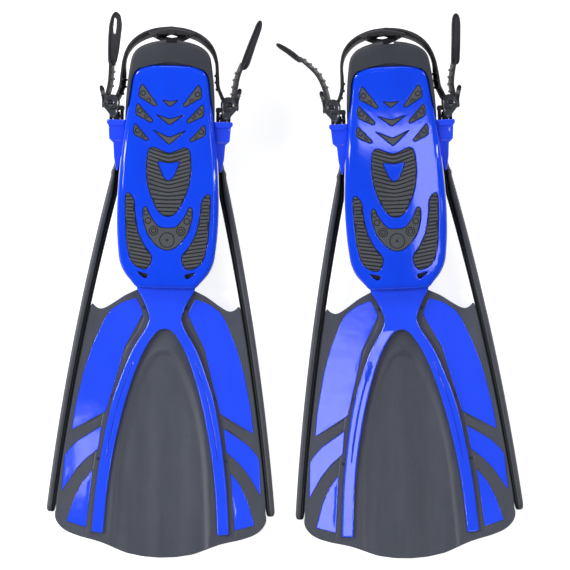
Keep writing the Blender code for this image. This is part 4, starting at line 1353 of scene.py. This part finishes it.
def build_lever(fin, place, side, materials):
    outline = [
        (69.2, 471.6), (71.2, 470.6), (72, 473), (71.6, 478), (72.6, 485), (74.8, 492), (74.2, 494.2),
        (71.6, 495), (69.2, 491), (68.4, 485), (68.8, 479), (68.2, 475.8), (68, 473),
    ]
    half = PLATE_INNER - GAP

    def narrowing(y):
        return 3.2 * step_up(y, 478, 493) ** 1.5

    lever = moulded(soften(at_side(outline, side), 1.6, 4), lambda x, y, gap: STRAP_Z + half - narrowing(y),
                    lambda x, y, gap: STRAP_Z - half + narrowing(y), 0.5, spacing=1.5, under=0.5)
    ridges = []
    for y in (484, 486.6, 489.2):
        x = float(np.interp(y, [478, 485, 492], [71.7, 72.7, 74.7]))
        reach = half - 4.5
        ridges.append(turned(rounded_pin(0.55, reach, 0.3), (side * x, y, STRAP_Z), "z", 12))
    add_piece(fin, f"lever_{place}", merge([lever, *ridges]), materials["buckle"], f"{place}_lever",
              [f"release_lever_{place}"])
    profile = rounded_pin(LEVER_PIN_RADIUS, PLATE_OUTER - 0.1, 0.3)
    pin = turned(profile, (side * LEVER_X, LEVER_Y, STRAP_Z), "z", 18)
    add_piece(fin, f"lever_pin_{place}", pin, materials["pin"], "strap", [f"lever_pin_{place}"])


# Strap

def ribbon(path, half, teeth):
    """Outline of a band along a path; teeth are (start, end, side) stretches of its length."""
    path = np.array(path)
    run = np.append(0, np.cumsum(np.linalg.norm(np.diff(path, axis=0), axis=1)))
    ahead = np.gradient(path, axis=0)

    def at(s, side, extra):
        x, y = np.interp(s, run, path[:, 0]), np.interp(s, run, path[:, 1])
        dx, dy = np.interp(s, run, ahead[:, 0]), np.interp(s, run, ahead[:, 1])
        reach = side * (half + extra) / math.hypot(dx, dy)
        return x - dy * reach, y + dx * reach

    edges = []
    tooth = ((0, 0), (0.25, 0.35), (0.4, 1.05), (0.75, 1.3), (2.2, 1.3), (2.6, 1.05), (2.75, 0.35), (3, 0))
    for side in (1, -1):
        stops = [(s, 0.0) for s in run]
        for start, end, where in teeth:
            if where != side:
                continue
            for k in range(int((end - start) / TOOTH_PITCH)):
                s = start + k * TOOTH_PITCH
                stops = [stop for stop in stops if not s - 0.5 < stop[0] < s + 3.5]
                stops += [(s + step, min(rise, TOOTH_HEIGHT)) for step, rise in tooth]
        edges.append([at(s, side, extra) for s, extra in sorted(stops)])
    return np.array(edges[0] + edges[1][::-1])


def wrap(side):
    """The band's middle line round a roller."""
    radius = ROLLER_RADIUS + GAP + STRAP_HALF
    if side > 0:
        return arc(ROLLER_X, ROLLER_Y, radius, -150, 0, 16)
    return arc(-ROLLER_X, ROLLER_Y, radius, -30, -180, 16)


def length_of(path):
    return float(np.linalg.norm(np.diff(path, axis=0), axis=1).sum())


def lean(points, name):
    """Tilt the band outward towards its upper edge, and move its heel bend to its place on this fin."""
    x, y, z = points.T
    height = (z - STRAP_Z) / STRAP_HALF_WIDTH
    heel = step_up(y, 497, 540) * (np.abs(x) < 52)
    on_tail = (np.abs(x) > 58) & (y > 480)
    side = np.where(x < 0, *SIDE_LEAN[name])
    inward = RUN_SHIFT * step_up(y, 486, 498) * (x > 0) * (x < 58) * (1 - heel)
    out = np.sign(x) * np.where(on_tail, TAIL_LEAN, side) * (1 - heel)
    new_x = x + out * height - inward + HEEL_SHIFT[name][0] * heel
    return np.column_stack([new_x, y + HEEL_LEAN * height * heel - HEEL_DROP * heel, z])


def build_strap(fin, materials):
    tails = {side: TAILS[(fin[0], side)] for side in (-1, 1)}
    left = smooth(tails[-1]["route"][::-1], 6)
    right = smooth(tails[1]["route"], 6)
    bend = smooth(HEEL_BEND, 6)
    path = np.concatenate([left, wrap(-1)[::-1], bend, (bend * (-1, 1))[::-1][1:], wrap(1), right])
    length = length_of(path)
    run = 20.0 + TOOTH_PITCH
    turn = 17.0
    teeth = [
        (4.0, length_of(left) - 2.0, 1),
        (length - length_of(right) + 3.0, length - 3.0, 1),
        (length_of(left) + turn + 13, length_of(left) + turn + 13 + run, -1),
        (length - length_of(right) - turn - 10 - run, length - length_of(right) - turn - 10, -1),
    ]
    low, high = STRAP_Z - STRAP_HALF_WIDTH, STRAP_Z + STRAP_HALF_WIDTH
    band = moulded(ribbon(path, STRAP_HALF, teeth), flat_at(high), flat_at(low), 0.35, under=0.35, spacing=40,
                    support=0)

    def pad_top(x, y, gap):
        across = x / HEEL_PAD_HALF
        crest = high + HEEL_PAD_PROUD - 1.4 * across ** 4 - 0.4 * across ** 2
        lip_edge = HEEL_LIP_EDGE - HEEL_LIP_CURVE * x * x
        return crest - HEEL_LIP_DROP * (1 - step_up(y - lip_edge, 0, 2.5))

    def pad_bottom(x, y, gap):
        return low - 5 + 4.0 * (x / HEEL_PAD_HALF) ** 4

    def tail_top(x, y, gap):
        return high - 1 - 1.4 * step_up(gap, 1.6, 2.2)

    hole = soften(HEEL_SLOT, 1.5, 4)
    pad = moulded(soften(HEEL_PAD, 4, 3), pad_top, pad_bottom, 1.6, [hole], 0.8, 1.4, 2.0)
    pad = (pad[0] + (HEEL_SHIFT[fin[0]][1], 0, 0), *pad[1:])
    parts = [(lean(band[0], fin[0]), *band[1:])]
    for tail in tails.values():
        slots = [soften(tail["slot"], 0.9, 3)] if "slot" in tail else []
        parts.append(moulded(soften(tail["bar"], 3.5, 3), tail_top, flat_at(low + 1), 1.0, slots, 0.4, 1.0,
                             2.0, extra_insets=(1.6, 2.2)))
    add_piece(fin, "heel_strap", merge(parts), materials["strap"], "strap", ["heel_strap"])
    add_piece(fin, "heel_pad", pad, materials["pad"], "strap")


def build_fin(fin, materials):
    build_shell(fin, materials)
    build_neck(fin, materials)
    build_tread(fin, materials)
    build_pocket(fin, materials)
    build_blade(fin, materials)
    build_panels(fin, materials)
    for place, side in (("outer", fin[3]), ("inner", -fin[3])):
        build_rail(fin, place, side, materials)
        build_lug(fin, place, side, materials)
        build_buckle(fin, place, side, materials)
    build_strap(fin, materials)


# Stage

FLOOR_HALF = 6.0
FLOOR_GAP = 0.0005        # between the floor and the lowest point, in metres
CAMERA_DISTANCE = 24.0
SENSOR = 36.0
VIEW_WIDTH = 0.5985       # metres across the picture, in the plane VIEW_HEIGHT above the floor
VIEW_HEIGHT = 0.04
EDGE_BOX_WIDTH = 0.3
EDGE_BOX_WATTS = 20.0     # per metre of box
# Narrow boxes whose reflections run along the shells' sloping edges: (x, y, depth)
EDGE_BOXES = [(-1.03, -0.535, 0.06), (0.742, -0.63, 0.028), (-0.724, -0.58, 0.04), (1.042, -0.517, 0.025)]


def build_floor():
    material, tree, shader = new_material("studio_floor")
    tree.links.new(blend_colours(tree, noise(tree, 3, 3), (0.58, 0.58, 0.59), (0.62, 0.62, 0.62)),
                   shader.inputs["Base Color"])
    shader.inputs["Roughness"].default_value = 0.9
    shader.inputs["Emission Color"].default_value = (1, 1, 1, 1)
    shader.inputs["Emission Strength"].default_value = 0.75
    mesh = bpy.data.meshes.new("studio_floor")
    corners = [(x * FLOOR_HALF, y * FLOOR_HALF, 0) for x, y in ((-1, -1), (1, -1), (1, 1), (-1, 1))]
    mesh.from_pydata(corners, [], [(0, 1, 2, 3)])
    mesh.materials.append(material)
    floor = bpy.data.objects.new("studio_floor", mesh)
    floor.location.z = -FLOOR_GAP
    bpy.context.scene.collection.objects.link(floor)


def softbox(name, place, aim, size, watts):
    light = bpy.data.lights.new(name, "AREA")
    light.shape = "RECTANGLE"
    light.size, light.size_y = size
    light.energy = watts
    lamp = bpy.data.objects.new(name, light)
    lamp.location = place
    to_aim = [a - p for a, p in zip(aim, place)]
    lamp.rotation_euler = Vector(to_aim).to_track_quat("-Z", "Y").to_euler()
    lamp.visible_camera = False
    bpy.context.scene.collection.objects.link(lamp)


def build_lights():
    world = bpy.data.worlds.new("studio")
    world.use_nodes = True
    back = world.node_tree.nodes["Background"]
    back.inputs["Color"].default_value = (0.95, 0.97, 1.0, 1)
    back.inputs["Strength"].default_value = 0.24
    bpy.context.scene.world = world
    softbox("left_box", (-2.2, 0.3, 1.9), (0, 0, 0), (0.6, 1.8), 68)
    softbox("right_box", (2.2, 0.2, 1.9), (0, 0, 0), (0.6, 1.8), 23)
    softbox("back_box", (0.0, 2.3, 1.9), (0, 0, 0), (2.2, 0.9), 32)
    overhead = [(f"edge_box_{number}", x, y, 1.2, (EDGE_BOX_WIDTH, depth), EDGE_BOX_WATTS * depth)
                for number, (x, y, depth) in enumerate(EDGE_BOXES, 1)]
    overhead += [
        ("panel_box", 0.081, -0.575, 2.0, (0.102, 0.10), 0.15),
        ("sole_box", 0.28, -0.8, 1.5, (0.10, 0.20), 0.37),
        ("toe_box", 0.14, -0.724, 1.5, (0.185, 0.04), 0.137),
        ("mid_box", -0.224, -0.392, 1.2, (0.025, 0.04), 0.012),
    ]
    for name, x, y, height, size, watts in overhead:
        softbox(name, (x, y, height), (x, y, 0), size, watts)


def build_camera():
    data = bpy.data.cameras.new("camera")
    data.sensor_width = SENSOR
    data.lens = SENSOR * (CAMERA_DISTANCE - VIEW_HEIGHT) / VIEW_WIDTH
    data.clip_end = 50
    camera = bpy.data.objects.new("camera", data)
    camera.location = (0.0008, 0.0006, CAMERA_DISTANCE)
    bpy.context.scene.collection.objects.link(camera)
    bpy.context.scene.camera = camera


def main():
    materials = build_materials()
    build_camera()
    build_lights()
    build_floor()
    for fin in FINS:
        build_fin(fin, materials)
    bpy.context.scene.view_settings.view_transform = "Standard"


main()
